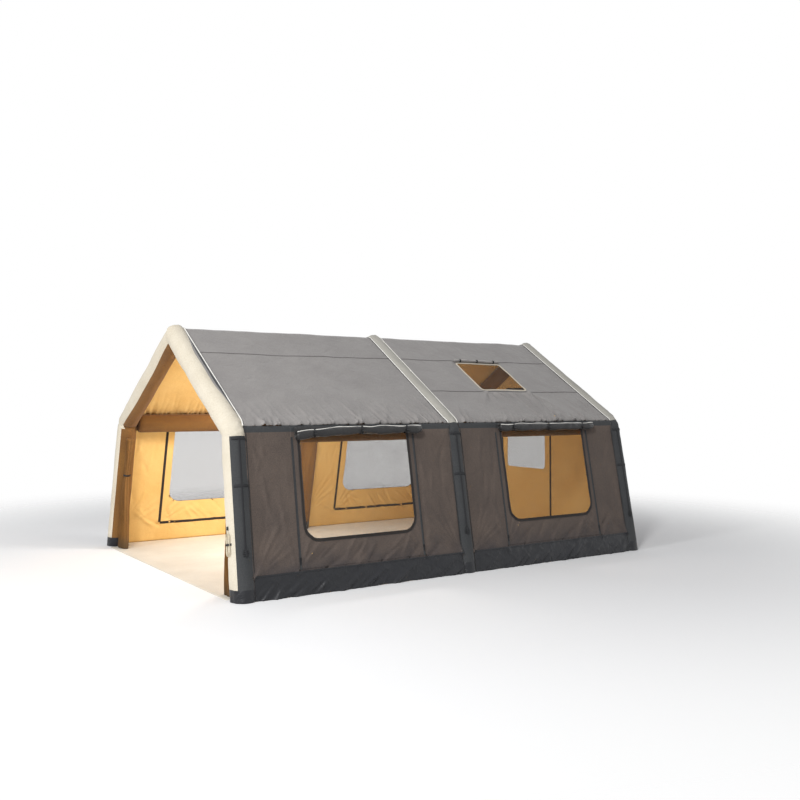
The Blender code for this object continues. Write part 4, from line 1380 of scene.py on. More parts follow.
    def sleeve_mesh(self) -> BMesh:
        """Mesh of the tube in its sleeve, from foot to foot.

        Returns:
            The closed mesh.
        """
        near = self.stations()
        ways = [0.0]
        for first, second in zip(near, near[1:]):
            step = math.dist(self.line(first, ARCH_RADIUS), self.line(second, ARCH_RADIUS))
            ways.append(ways[-1] + step)
        rings = [(station, way, 1) for station, way in zip(near, ways)]
        for station, way in reversed(list(zip(near, ways))[:-1]):
            rings.append((station, 2 * ways[-1] - way, -1))
        last = len(rings) - 1

        def skin(u: float, v: float) -> Vector:
            """Place a point of the sleeve."""
            station, way, sign = rings[round(v * last)]
            angle = self.turned(station, 2 * math.pi * u - math.pi)
            reach = ARCH_RADIUS + self.crumple(station, angle, way)
            x, z = self.line(station, reach * math.cos(angle))
            return Vector((sign * x, self.place.centre + reach * math.sin(angle), z))

        def zone(u: float, v: float) -> int:
            """Pick the finish of a face."""
            ring = int(v * last + (0.5 if v > 0.5 else 0.0))
            return self.finish_at(rings[ring][0], 2 * math.pi * u - math.pi)

        size = (2 * math.pi * ARCH_RADIUS, 2 * ways[-1])
        return surface(self.sides, last, skin, size, closed=True, capped=True, zone=zone)

    def webbing_mesh(self, side: Side) -> BMesh:
        """Strap, cross tabs and the tied end of the strap on one leg.

        Args:
            side: Side of the tent.

        Returns:
            The joined mesh.
        """
        matrix = wall_matrix(side, self.place.centre, ARCH_RADIUS)

        def on_leg(x: float, y: float, lift: float) -> Vector:
            """Place a point on the leg: round it, up it and above it."""
            angle, reach = x / ARCH_RADIUS, ARCH_RADIUS + lift
            return matrix @ Vector((reach * math.sin(angle), y, reach * math.cos(angle)))

        top = self.high_tab + self.tab_height
        thick = self.strap_thickness
        strap = spaced([(0, self.strap_foot), (0, top)], 0.03)
        parts = [tape(on_leg, strap, self.strap_width, thick)]
        reach = self.tab_half_angle * ARCH_RADIUS
        for low in (self.high_tab, self.high_tab - self.tab_spacing):
            middle = low + self.tab_height / 2
            path = spaced([(-reach, middle), (reach, middle)], 0.01)
            parts.append(tape(on_leg, path, self.tab_height, thick * 0.8, base=thick * 0.3))
        for turn, width in enumerate((0.9, 1.0, 0.82)):
            half = self.bundle_half_width * width - 0.009
            middle = self.strap_foot - 0.020 + self.bundle_step * turn
            path = spaced([(-half, middle), (half, middle)], 0.01)
            parts.append(tape(on_leg, path, 0.017, 0.0045, base=0.0015 + 0.0022 * turn))
        knot = [(0.002, self.strap_foot - 0.030), (-0.002, self.strap_foot + 0.032)]
        parts.append(tape(on_leg, spaced(knot, 0.01), 0.014, 0.0025, base=0.0095))
        return joined(parts)

    def seam_path(self, end: int, q0: float, q1: float, away: float, lift: float) -> list[Vector]:
        """Line along the seam between the sleeve and the cloth of one bay.

        Args:
            end: 1 for the seam to the rear of the arch and -1 for the one to its front.
            q0: Start of the line.
            q1: End of the line.
            away: Distance further from the arch.
            lift: Height above the cloth.

        Returns:
            Points of the line.
        """
        count = max(2, round(abs(q1 - q0) / 0.025))
        points = []
        for i in range(count + 1):
            q = q0 + (q1 - q0) * i / count
            cloth = Vector(SECTION.at(-abs(q)))
            nearest = min((Vector(point) - cloth).length for point in self.middle_line)
            reach = math.sqrt(max(ARCH_RADIUS**2 - nearest**2, 0.0))
            x, z = SECTION.at(q, lift)
            y = self.place.centre + end * (reach + away)
            points.append(Vector((x, y, max(z, HEM_HEIGHT + 0.003))))
        return points

    def build(self) -> None:
        """Make the arch's pieces."""
        name = self.place.label
        bands = (SLEEVE_CLOTH, SLATE_SHADE_CLOTH, BROWN_SHADE_CLOTH, STONE_SHADE_CLOTH, SKIRT_CLOTH)
        finishes = (*bands, ROOF_CLOTH)
        nodes = (f"{name}_arch_tube", f"{name}_arch_sleeve")
        piece(f"{name}_arch", self.sleeve_mesh(), finishes, "tent", "sleeve", nodes)
        for side in Side:
            label = f"{name}_{side.label}_leg_webbing"
            piece(label, self.webbing_mesh(side), (BLACK_WEBBING,), "tent", "zip")
        ends = {ArchPlace.FRONT: (1,), ArchPlace.MID: (-1, 1), ArchPlace.REAR: (-1,)}
        foot = SECTION.wall_q(0.01)
        pale, dark = [], []
        for end in ends[self.place]:
            path = self.seam_path(end, -SECTION.eave, SECTION.eave, -0.001, 0.004)
            pale.append(rod(path, 0.0062))
            dark.append(rod(self.seam_path(end, -foot, foot, 0.007, 0.0015), 0.0035))
        piece(f"{name}_arch_piping", joined(pale), (PALE_PIPING_AND_GLINT,), "tent", "sleeve")
        piece(f"{name}_arch_seam_cord", joined(dark), (COIL_ZIP,), "tent", "zip")


@dataclass
class Beam:
    """A straight air beam between two arches, in a sewn sleeve."""

    name: str
    centre: Point
    bay: Bay
    sides: int = 32
    rows: int = 90
    end_length: float = 0.03
    end_share: float = 0.82

    def mesh(self) -> BMesh:
        """Mesh of the beam, drawn in and pleated at both ends.

        Returns:
            The closed mesh.
        """
        start = ARCH_CENTRES[self.bay.value] + ARCH_RADIUS + SEAT_GAP
        end = ARCH_CENTRES[self.bay.value + 1] - ARCH_RADIUS - SEAT_GAP
        length = end - start

        def skin(u: float, v: float) -> Vector:
            """Place a point of the beam's sleeve."""
            sin, cos = math.sin(2 * math.pi * u), math.cos(2 * math.pi * u)
            way = min(v, 1 - v) * length
            ease = math.sqrt(max(0.0, 1 - (1 - min(way / self.end_length, 1.0)) ** 2))
            share = self.end_share + (1 - self.end_share) * ease
            pleat = ripple(cos * 2.4, sin * 2.4, way * 3)
            fine = ripple(cos, sin, v * length * 5)
            reach = BEAM_RADIUS * share - 0.0012 * (0.5 + fine)
            reach -= 0.004 * math.exp(-way / 0.05) * (0.5 + pleat)
            x, z = self.centre[0] + reach * cos, self.centre[1] + reach * sin
            return Vector((x, start + v * length, z))

        size = (2 * math.pi * BEAM_RADIUS, length)
        return surface(self.sides, self.rows, skin, size, closed=True, capped=True)

    def build(self) -> None:
        """Make the beam's piece."""
        # The beam's sleeve is brown painted shade
        piece(f"{self.name}_sleeved", self.mesh(), (BROWN_SHADE_CLOTH,), "tent", "beam", (self.name,))


# ---------------------------------------------------------------- rolled covers


@dataclass
class RolledCover:
    """A cloth cover wound on itself and held by ties with toggles."""

    name: str
    node: str
    body: str
    cloth: Cloth
    slot: str
    radius: float
    half_length: float
    turns: float
    droop: float = 0.0
    core: float = 0.007
    pinch: float = 0.80
    lobe: float = 0.07
    sag: float = 0.004
    tie_shares: tuple[float, ...] = (-0.74, 0.0, 0.74)
    tie_width: float = 0.018
    toggle_turn: float = 1.9
    seed: float = 0.0

    def share(self, x: float) -> float:
        """Share of the full radius at a place along the roll."""
        ends = (-1.0, *self.tie_shares, 1.0)
        at = x / self.half_length
        for first, second in zip(ends, ends[1:]):
            if first <= at <= second:
                swell = math.sin(math.pi * (at - first) / (second - first))
                return self.pinch + (1 - self.pinch) * max(swell, 0.0) ** 0.7
        return self.pinch

    def drop(self, x: float) -> float:
        """How much lower the roll hangs at a place along it."""
        toward = max(0.0, math.copysign(x / self.half_length, x * self.droop))
        swell = (self.share(x) - self.pinch) / (1 - self.pinch)
        return abs(self.droop) * toward**2 + self.sag * swell

    def roll_mesh(self, at: Placer) -> BMesh:
        """Mesh of the wound cloth, one face thick.

        Args:
            at: Placing round the roll's middle.

        Returns:
            The spiral sheet.
        """
        tail = 3
        around = round(20 * self.turns)
        rows = max(24, round(2 * self.half_length / 0.015))

        def layer(u: float, v: float) -> Vector:
            """Place a point of the wound cloth."""
            i = round(u * (around + tail))
            x = self.half_length * (1 - 2 * v)
            if i < tail:
                up = (tail - i) / tail * self.radius * 0.95 - self.drop(x) * i / tail
                return at(x, up, -self.radius * self.share(x) * 0.97)
            wound = (i - tail) / around
            turn = -math.pi / 2 - 2 * math.pi * self.turns * wound
            sin, cos = math.sin(turn), math.cos(turn)
            lobe = 1 - self.lobe * (1 - math.cos(3 * turn + 3 * math.pi / 2)) / 2
            ring = ripple(cos * 0.9, sin * 0.9, x * 9 + turn * 0.25 + self.seed)
            crush = ripple(turn * 0.5, x * 14, self.seed)
            reach = self.radius * self.share(x) * lobe * (0.93 + 0.20 * ring)
            reach *= 1 - (1 - self.core / self.radius) * wound
            reach *= 1 + 0.13 * crush
            return at(x, reach * cos - self.drop(x), reach * sin)

        size = (self.cloth_length, 2 * self.half_length)
        return surface(around + tail, rows, layer, size)

    @property
    def cloth_length(self) -> float:
        """Length of the cloth that is wound up."""
        return math.pi * self.turns * (self.radius + self.core) * 0.90 + self.radius

    def hem_mesh(self, at: Placer) -> BMesh:
        """Mesh of the cover's bound edge along the roll's top, pale as a painted highlight where
        light catches the top.

        Args:
            at: Placing round the roll's middle.

        Returns:
            The closed mesh.
        """
        length = 2 * self.half_length - 0.01
        count = max(12, round(length / 0.015))
        path = []
        for i in range(count + 1):
            x = length * (i / count - 0.5)
            turn = 0.60 + 0.60 * ripple(x * 6, self.seed, 0.0)
            reach = self.radius * self.share(x) * 0.97
            path.append(at(x, reach * math.cos(turn) - self.drop(x), reach * math.sin(turn)))

        def glint_breaks(t: float) -> float:
            """Share of the edge's thickness that shows along the roll, which breaks up the
            painted highlight.
            """
            return 0.75 + 0.6 * ripple(t * 14, self.seed, 3.0)

        return rod(path, self.radius * 0.10, 8, taper=glint_breaks)

    def tie_mesh(self, at: Placer) -> BMesh:
        """Mesh of the loops round the roll.

        Args:
            at: Placing round the roll's middle.

        Returns:
            The joined mesh.
        """
        reach = self.radius * self.pinch * 1.02 + 0.0012
        path = [(0.0, 2 * math.pi * reach * i / 28) for i in range(29)]
        loops = []
        for share in self.tie_shares:
            x = share * self.half_length

            def around(a: float, b: float, height: float, x: float = x) -> Vector:
                """Place a point of the loop round the roll."""
                up = (reach + height) * math.cos(b / reach) - self.drop(x)
                return at(x + a, up, (reach + height) * math.sin(b / reach))

            loops.append(tape(around, path, self.tie_width, TAPE_THICKNESS, closed=True))
        return joined(loops)

    def toggle_mesh(self, at: Placer) -> BMesh:
        """Mesh of the toggles, each held in a short cord loop in front of its tie.

        Args:
            at: Placing round the roll's middle.

        Returns:
            The joined mesh.
        """
        size = min(self.radius / 0.044, 1.0)
        reach = self.radius * self.pinch + 0.004
        out = reach * math.sin(self.toggle_turn) + 0.006 * size
        parts = []

        def waisted(t: float) -> float:
            """Share of the toggle's radius along it."""
            ends = math.sqrt(max(0.05, 1 - (2 * t - 1) ** 6))
            return ends * (1 - 0.35 * math.exp(-(((t - 0.5) / 0.1) ** 2)))

        for share in self.tie_shares:
            x = share * self.half_length
            up = reach * math.cos(self.toggle_turn) - self.drop(x)
            step, sag = 0.034 * size / 16, 0.00025
            path = [at(x + (i - 8) * step, up - sag * i, out) for i in range(17)]
            parts.append(rod(path, 0.0062 * size, 14, taper=waisted))
            loop = []
            for i in range(21):
                sin, cos = math.sin(math.pi * i / 10), math.cos(math.pi * i / 10)
                low = up - (0.018 + 0.022 * cos) * size
                loop.append(at(x + 0.008 * size * sin, low, out - 0.002 * size * (1 + cos)))
            parts.append(rod(loop, 0.0016 * size, 6, closed=True))
        return joined(parts)

    def build(self, x0: float, y0: float, lift: float, place: Placer) -> None:
        """Make the cover's pieces.

        Args:
            x0: Place of its middle along the surface behind it.
            y0: Place of its middle up the surface.
            lift: Height of its middle above the surface.
            place: Placing of the surface.
        """

        def at(x: float, y: float, out: float = 0.0) -> Vector:
            """Place a point by its distances from the roll's middle."""
            return place(x0 + x, y0 + y, lift + out)

        roll = piece(
            self.name,
            self.roll_mesh(at),
            (self.cloth,),
            self.body,
            self.slot,
            (self.node,),
            thickness=0.0012,
        )
        # The pale hem along the roll's top is a painted highlight
        piece(f"{self.name}_hem", self.hem_mesh(at), (PALE_PIPING_AND_GLINT,), self.body, self.slot)
        piece(f"{self.name}_ties", self.tie_mesh(at), (BLACK_WEBBING,), self.body, "zip")
        toggles = self.toggle_mesh(at)
        piece(f"{self.name}_toggles", toggles, (TOGGLE_PLASTIC,), self.body, "zip")


# ---------------------------------------------------------------- roof


@dataclass
class Skylight:
    """The net in the near rear slope, its binding and its rolled cover."""

    low: float = 0.640
    high: float = 1.200
    half_width: float = 0.310
    offset: float = -0.025
    corner: float = 0.030
    binding: float = 0.022
    roll_radius: float = 0.018

    def outline(self, grow: float = 0.0) -> list[Point]:
        """Outline of the opening on the roof's flat cut, grown by a margin."""
        low, high = -SECTION.roof_q(self.low) - grow, -SECTION.roof_q(self.high) + grow
        radius = self.corner + grow
        return shifted(rounded(self.half_width + grow, low, high, radius, radius), self.offset)

    def build(self, place: Placer) -> None:
        """Make the skylight's pieces.

        Args:
            place: Placing of the roof's cloth.
        """
        low, high = box_of(self.outline(self.binding * 0.6))
        net = piece(
            "skylight_net_sheet",
            sheet_mesh(low, high, (0.03, 0.03), lambda x, y: place(x, y, 0.0006)),
            (NET,),
            "tent",
            "net",
            ("skylight_net",),
            thickness=NET_THICKNESS,
        )
        path = spaced(self.outline(self.binding * 0.55), TAPE_STEP, closed=True)
        ring = tape(place, path, self.binding, 0.003, closed=True, base=0.0004)
        piece("skylight_binding", ring, (SLEEVE_CLOTH,), "tent", "net")
        roll = RolledCover(
            "skylight_cover_roll",
            "skylight_cover",
            "tent",
            ROOF_CLOTH,
            "roof",
            self.roll_radius,
            self.half_width + self.binding,
            turns=3.5,
            core=0.004,
        )
        up = -SECTION.roof_q(self.high + self.binding + SEAT_GAP + self.roll_radius)
        roll.build(self.offset, up, SEAT_GAP + self.roll_radius, place)


@dataclass
class RoofCloth:
    """One sheet over the ridge, from eave to eave, between two arches."""

    bay: Bay
    skylight: Skylight | None = None
    sag: float = 0.014
    edge_band: float = 0.14
    step: Point = (0.0095, 0.021)
    upper_seam: float = 1.262
    lower_seam: float = 0.600
    eave_folds: int = 60
    eave_fold_length: Point = (0.12, 0.30)
    eave_fold_depth: Point = (0.008, 0.016)
    eave_fold_width: Point = (0.010, 0.018)
    pleat_height: float = 0.040
    pleat_reach: float = 0.38
    pull_shares: tuple[float, ...] = (-0.74, -0.37, 0.0, 0.37, 0.74)
    roll_half: float = 0.665
    roll_shift: float = 0.045

    def relief(self) -> Relief:
        """Folds at the eaves and below the skylight.

        Returns:
            The relief of the roof's cloth.
        """
        rng = random.Random(11 + self.bay.value)
        folds = []
        for sign in (-1, 1):
            eave = sign * (SECTION.eave - 0.004)
            for _ in range(self.eave_folds):
                x = rng.uniform(-1, 1) * (self.bay.half - 0.03)
                lean = rng.uniform(-0.6, 0.6)
                length = rng.uniform(*self.eave_fold_length) * rng.choice((1.0, 1.0, 1.7))
                end = (x + lean * length, eave - sign * length)
                depth = rng.uniform(*self.eave_fold_depth) * rng.choice((1, 1, -0.5))
                folds.append(Fold((x, eave), end, rng.uniform(*self.eave_fold_width), depth))
            for share in self.pull_shares:
                tied = (share * self.roll_half + self.roll_shift, eave - sign * 0.02)
                angles = (-90 * sign - 65, -90 * sign + 65)
                folds += fan(rng, tied, angles, (0.12, 0.26), 5, 0.018, 0.018)
            for edge in (-1, 1):
                corner = (edge * self.bay.half, eave)
                toward = -90 * sign
                angles = (toward + sign * -edge * 12, toward + sign * -edge * 62)
                folds += fan(rng, corner, angles, (0.25, 0.6), 6, 0.007, 0.020)
                ridge = (edge * self.bay.half, sign * 0.06)
                toward = 90 * sign
                angles = (toward + sign * edge * 15, toward + sign * edge * 55)
                folds += fan(rng, ridge, angles, (0.2, 0.5), 4, 0.004, 0.018)
        if self.skylight:
            low = -SECTION.roof_q(self.skylight.low)
            for edge in (-1, 1):
                corner = (self.skylight.offset + edge * self.skylight.half_width, low - 0.07)
                angles = (-90 - edge * 15, -90 + edge * 50)
                folds += fan(rng, corner, angles, (0.30, 0.60), 3, 0.028, 0.034)
            for share in (-0.6, -0.35, 0.1, 0.3, 0.75):
                start = (self.skylight.offset + share * self.skylight.half_width, low - 0.10)
                end = (start[0] + rng.uniform(0.05, 0.20), low - rng.uniform(0.35, 0.50))
                folds.append(Fold(start, end, 0.034, 0.036))
        return Relief(folds, wave=0.010, wave_size=0.45, seed=3.1 + self.bay.value)

    def placer(self) -> Placer:
        """Placing of the roof's cloth: x along the tent, y the section's q."""
        relief = self.relief()

        def place(x: float, y: float, lift: float = 0.0) -> Vector:
            """Place a point of the roof's flat cut."""
            up = SECTION.roof_q(0.0) - abs(y)
            share = (up - self.edge_band) / (ROOF_RUN - 2 * self.edge_band)
            dip = 0.0
            if 0 < share < 1 and not (self.skylight and y < 0):
                across = min(abs(x) / self.bay.half, 1.0)
                dip = self.sag * math.sin(math.pi * share) ** 2
                dip *= math.cos(math.pi * across / 2) ** 2
            edge = smooth((self.bay.half - abs(x)) / 0.10)
            pleat = ripple(x * 24 + up * 4, up * 2.2, math.copysign(2.0, y))
            pleat *= 0.45 + 0.55 * smooth(x / self.bay.half + 0.5)
            fade = math.exp(-((max(up, 0.0) / self.pleat_reach) ** 2))
            rise = self.pleat_height * max(0.0, pleat) * fade
            rise += relief.at(x, y) * (0.25 + 0.75 * edge) - dip
            rise = over_beam(rise, min(abs(y), SECTION.eave - abs(y)) - 0.13)
            across, height = SECTION.at(y, lift + rise)
            return Vector((across, self.bay.middle + x, height))

        return place

    def seams(self, place: Placer) -> BMesh:
        """Flat sewn seams along the roof, darkened as painted shade along each seam.

        Args:
            place: Placing of the cloth.

        Returns:
            The joined mesh.
        """
        places = [-SECTION.roof_q(self.upper_seam), SECTION.roof_q(self.upper_seam)]
        if self.skylight:
            places.append(-SECTION.roof_q(self.lower_seam))
        half = self.bay.half - 0.002
        paths = [spaced([(-half, q), (half, q)], TAPE_STEP) for q in places]
        return joined(tape(place, path, 0.012, TAPE_THICKNESS, base=TAPE_BASE) for path in paths)

    def build(self) -> None:
        """Make the roof's pieces."""
        half, eave = self.bay.half + SEAM_TUCK, SECTION.eave
        place = self.placer()
        holes = [self.skylight.outline()] if self.skylight else []
        name = self.bay.label
        made = piece(
            f"{name}_roof_cloth",
            sheet_mesh((-half, -eave), (half, eave), self.step, place, holes),
            (ROOF_CLOTH, LINER_GLOW_CLOTH),
            "tent",
            "roof",
            [f"{side.label}_{name}_roof_panel" for side in Side],
            CLOTH_THICKNESS,
            lined=True,
        )
        area = 4 * half * eave - sum(outline_area(hole) for hole in holes)
        piece(f"{name}_roof_seams", self.seams(place), (SEAM_SHADE_CLOTH,), "tent", "roof")
        if self.skylight:
            self.skylight.build(place)


# ---------------------------------------------------------------- walls and doors


@dataclass
class SideDoor:
    """A door panel in a side wall, with its netted window and rolled cover."""

    side: Side
    bay: Bay
    sill: float = 0.215
    top: float = WALL_RUN - 0.027
    half_width: float = 0.655
    rear_offset: float = 0.022
    gap: float = 0.0006
    margin: float = 0.087
    window_sill: float = 0.460
    window_corner: float = 0.125
    window_top_corner: float = 0.040
    corner_cut: float = 0.2929
    binding: float = 0.022
    tape_width: float = 0.022
    roll_radius: float = 0.044
    roll_drop: float = 0.050
    roll_shift: float = 0.045
    roll_overhang: float = 0.010
    roll_droop: float = 0.040
    slate_from: float = 1.395
    creases: int = 18
    crease_depth: Point = (0.010, 0.017)
    crease_width: Point = (0.013, 0.022)

    @property
    def name(self) -> str:
        """Name shared by the door's nodes."""
        return f"{self.side.label}_{self.bay.label}"

    @property
    def body(self) -> str:
        """Body of the door."""
        return f"{self.name}_side_door"

    @property
    def middle(self) -> float:
        """Middle of the door along the wall's flat cut."""
        return self.side.value * (self.rear_offset if self.bay is Bay.REAR else 0.0)

    @property
    def window_top(self) -> float:
        """Upper edge of the window, behind the roll."""
        return self.top - self.roll_drop - self.binding / 2

    def window(self, grow: float = 0.0) -> list[Point]:
        """Outline of the window on the wall's flat cut, grown by a margin."""
        points = rounded(
            self.half_width - self.margin + grow,
            self.window_sill - grow,
            self.window_top + grow,
            self.window_corner + grow,
            self.window_top_corner + grow,
        )
        return shifted(points, self.middle)

    def zone(self, _: float, y: float) -> int:
        """Number in BANDED_WALL of the finish at a height: slate painted shade on the band at the
        eave, taupe painted shade below it.
        """
        return BANDED_WALL.index(SLATE_SHADE_CLOTH if y > self.slate_from else TAUPE_SHADE_WALL_CLOTH)

    @property
    def zip_places(self) -> list[Point]:
        """Places along both zips, which stay level for the sliders' travel."""
        reach = self.half_width - self.tape_width / 2
        path = [(reach, self.sill + 0.03), (reach, self.top - 0.03)]
        right = spaced(path, CALM_STEP)
        return [(self.middle + edge * x, y) for edge in (-1, 1) for x, y in right]

    def folds(self, rng: random.Random) -> list[Fold]:
        """Folds from the door's lower corners and along its sill.

        Args:
            rng: Source of the small differences.

        Returns:
            The folds.
        """
        folds = []
        for edge in (-1, 1):
            corner = (self.middle + edge * (self.half_width + 0.01), self.sill - 0.01)
            toward = 90 + edge * 22
            folds += fan(rng, corner, (toward - 25, toward + 45), (0.3, 0.8), 9, 0.015)
            corner = (self.middle + edge * (self.half_width - 0.05), self.top - 0.05)
            toward = -90 - edge * 20
            folds += fan(rng, corner, (toward - 15, toward + 15), (0.2, 0.5), 3, 0.006)
        for _ in range(self.creases):
            x = self.middle + rng.uniform(-0.95, 1.2) * self.half_width
            start = (x, self.sill + rng.uniform(-0.08, 0.06))
            end = (x + rng.uniform(0.15, 0.35), start[1] + rng.uniform(0.15, 0.30))
            depth = rng.uniform(*self.crease_depth) * rng.choice((1, -1))
            folds.append(Fold(start, end, rng.uniform(*self.crease_width), depth, pinned=False))
        return folds

    def panel(self, place: Placer) -> None:
        """Make the door's cloth.

        Args:
            place: Placing of its cloth.
        """
        half = self.half_width - self.gap
        low = (self.middle - half, self.sill + self.gap)
        high = (self.middle + half, self.top - self.gap)
        hole = self.window()
        made = piece(
            f"{self.name}_door_cloth",
            sheet_mesh(low, high, (0.012, 0.012), place, [hole], zone=self.zone),
            BANDED_WALL,
            self.body,
            "wall",
            (self.body,),
            CLOTH_THICKNESS,
            lined=True,
        )
        width, height = high[0] - low[0], high[1] - low[1]
        area = width * height - outline_area(hole)

    def window_pieces(self, place: Placer) -> None:
        """Make the net and the bindings round it.

        Args:
            place: Placing of the door's cloth.
        """
        low, high = box_of(self.window(self.binding * 0.5))
        cut = self.corner_cut * (self.window_corner + self.binding * 0.5)
        trims = [
            ((low[0] + cut, low[1] + cut), (-1, -1)), ((high[0] - cut, low[1] + cut), (1, -1))
        ]
        net = piece(
            f"{self.name}_net_sheet",
            sheet_mesh(low, high, (0.04, 0.04), lambda x, y: place(x, y, 0.0008), trims=trims),
            (NET,),
            self.body,
            "net",
            (f"{self.name}_window_net",),
            thickness=NET_THICKNESS,
        )
        path = spaced(self.window(self.binding * 0.5), TAPE_STEP, closed=True)
        ring = tape(place, path, self.binding, BINDING_THICKNESS, closed=True, base=BINDING_BASE)
        piece(f"{self.name}_window_binding", ring, (TRIM_CLOTH,), self.body, "net")
        cords = []
        for grow, radius in ((0.001, 0.0032), (self.binding + 0.001, 0.0028)):
            line = spaced(self.window(grow), TAPE_STEP, closed=True)
            cords.append(rod([place(x, y, 0.0032) for x, y in line], radius, 8, closed=True))
        piece(f"{self.name}_window_zip_coil", joined(cords), (COIL_ZIP,), self.body, "zip")

    def tapes(self, place: Placer) -> None:
        """Make the zip tapes along both edges, each with its coil.

        Args:
            place: Placing of the door's cloth.
        """
        reach = self.half_width - self.gap - self.tape_width / 2 - self.gap
        low = self.sill + 2 * self.gap
        high = self.top - self.roll_drop - self.roll_radius - self.gap
        webs, coils = [], []
        for edge in (-1, 1):
            x = self.middle + edge * reach
            path = spaced([(x, low), (x, high)], TAPE_STEP)
            webs.append(tape(place, path, self.tape_width, TAPE_THICKNESS, base=TAPE_BASE))
            out = x + edge * self.tape_width * 0.36
            coils.append(rod([place(out, y, COIL_RADIUS) for _, y in path], COIL_RADIUS))
        piece(f"{self.name}_zip_tapes", joined(webs), (SLATE_SHADE_CLOTH,), self.body, "zip")
        piece(f"{self.name}_zip_coils", joined(coils), (COIL_ZIP,), self.body, "zip")

    def build(self, soft: Placer) -> None:
        """Make the door's pieces.

        Args:
            soft: Placing of the cloth of the wall and the door, with its folds.
        """
        self.panel(soft)
        self.window_pieces(soft)
        self.tapes(soft)
        sign = self.side.value
        roll = RolledCover(
            f"{self.name}_cover_roll",
            f"{self.name}_window_cover",
            self.body,
            ROLL_CLOTH,
            "rolled_cover",
            self.roll_radius,
            self.half_width + self.roll_overhang,
            turns=5.5,
            droop=-sign * self.roll_droop if self.bay is Bay.FRONT else 0.0,
            seed=1.7 * self.bay.value + 0.9 * sign,
        )
        lift = 2 * SEAT_GAP + 0.004 + self.roll_radius
        flat = plane_placer(wall_matrix(self.side, self.bay.middle, CLOTH_OUTER_DEPTH))
        x0 = self.middle + sign * self.roll_shift
        roll.build(x0, self.top - self.roll_drop, lift, flat)
        for end in ("front", "back"):
            refinish(f"{self.name}_{end}_slider", ZIP_METAL)


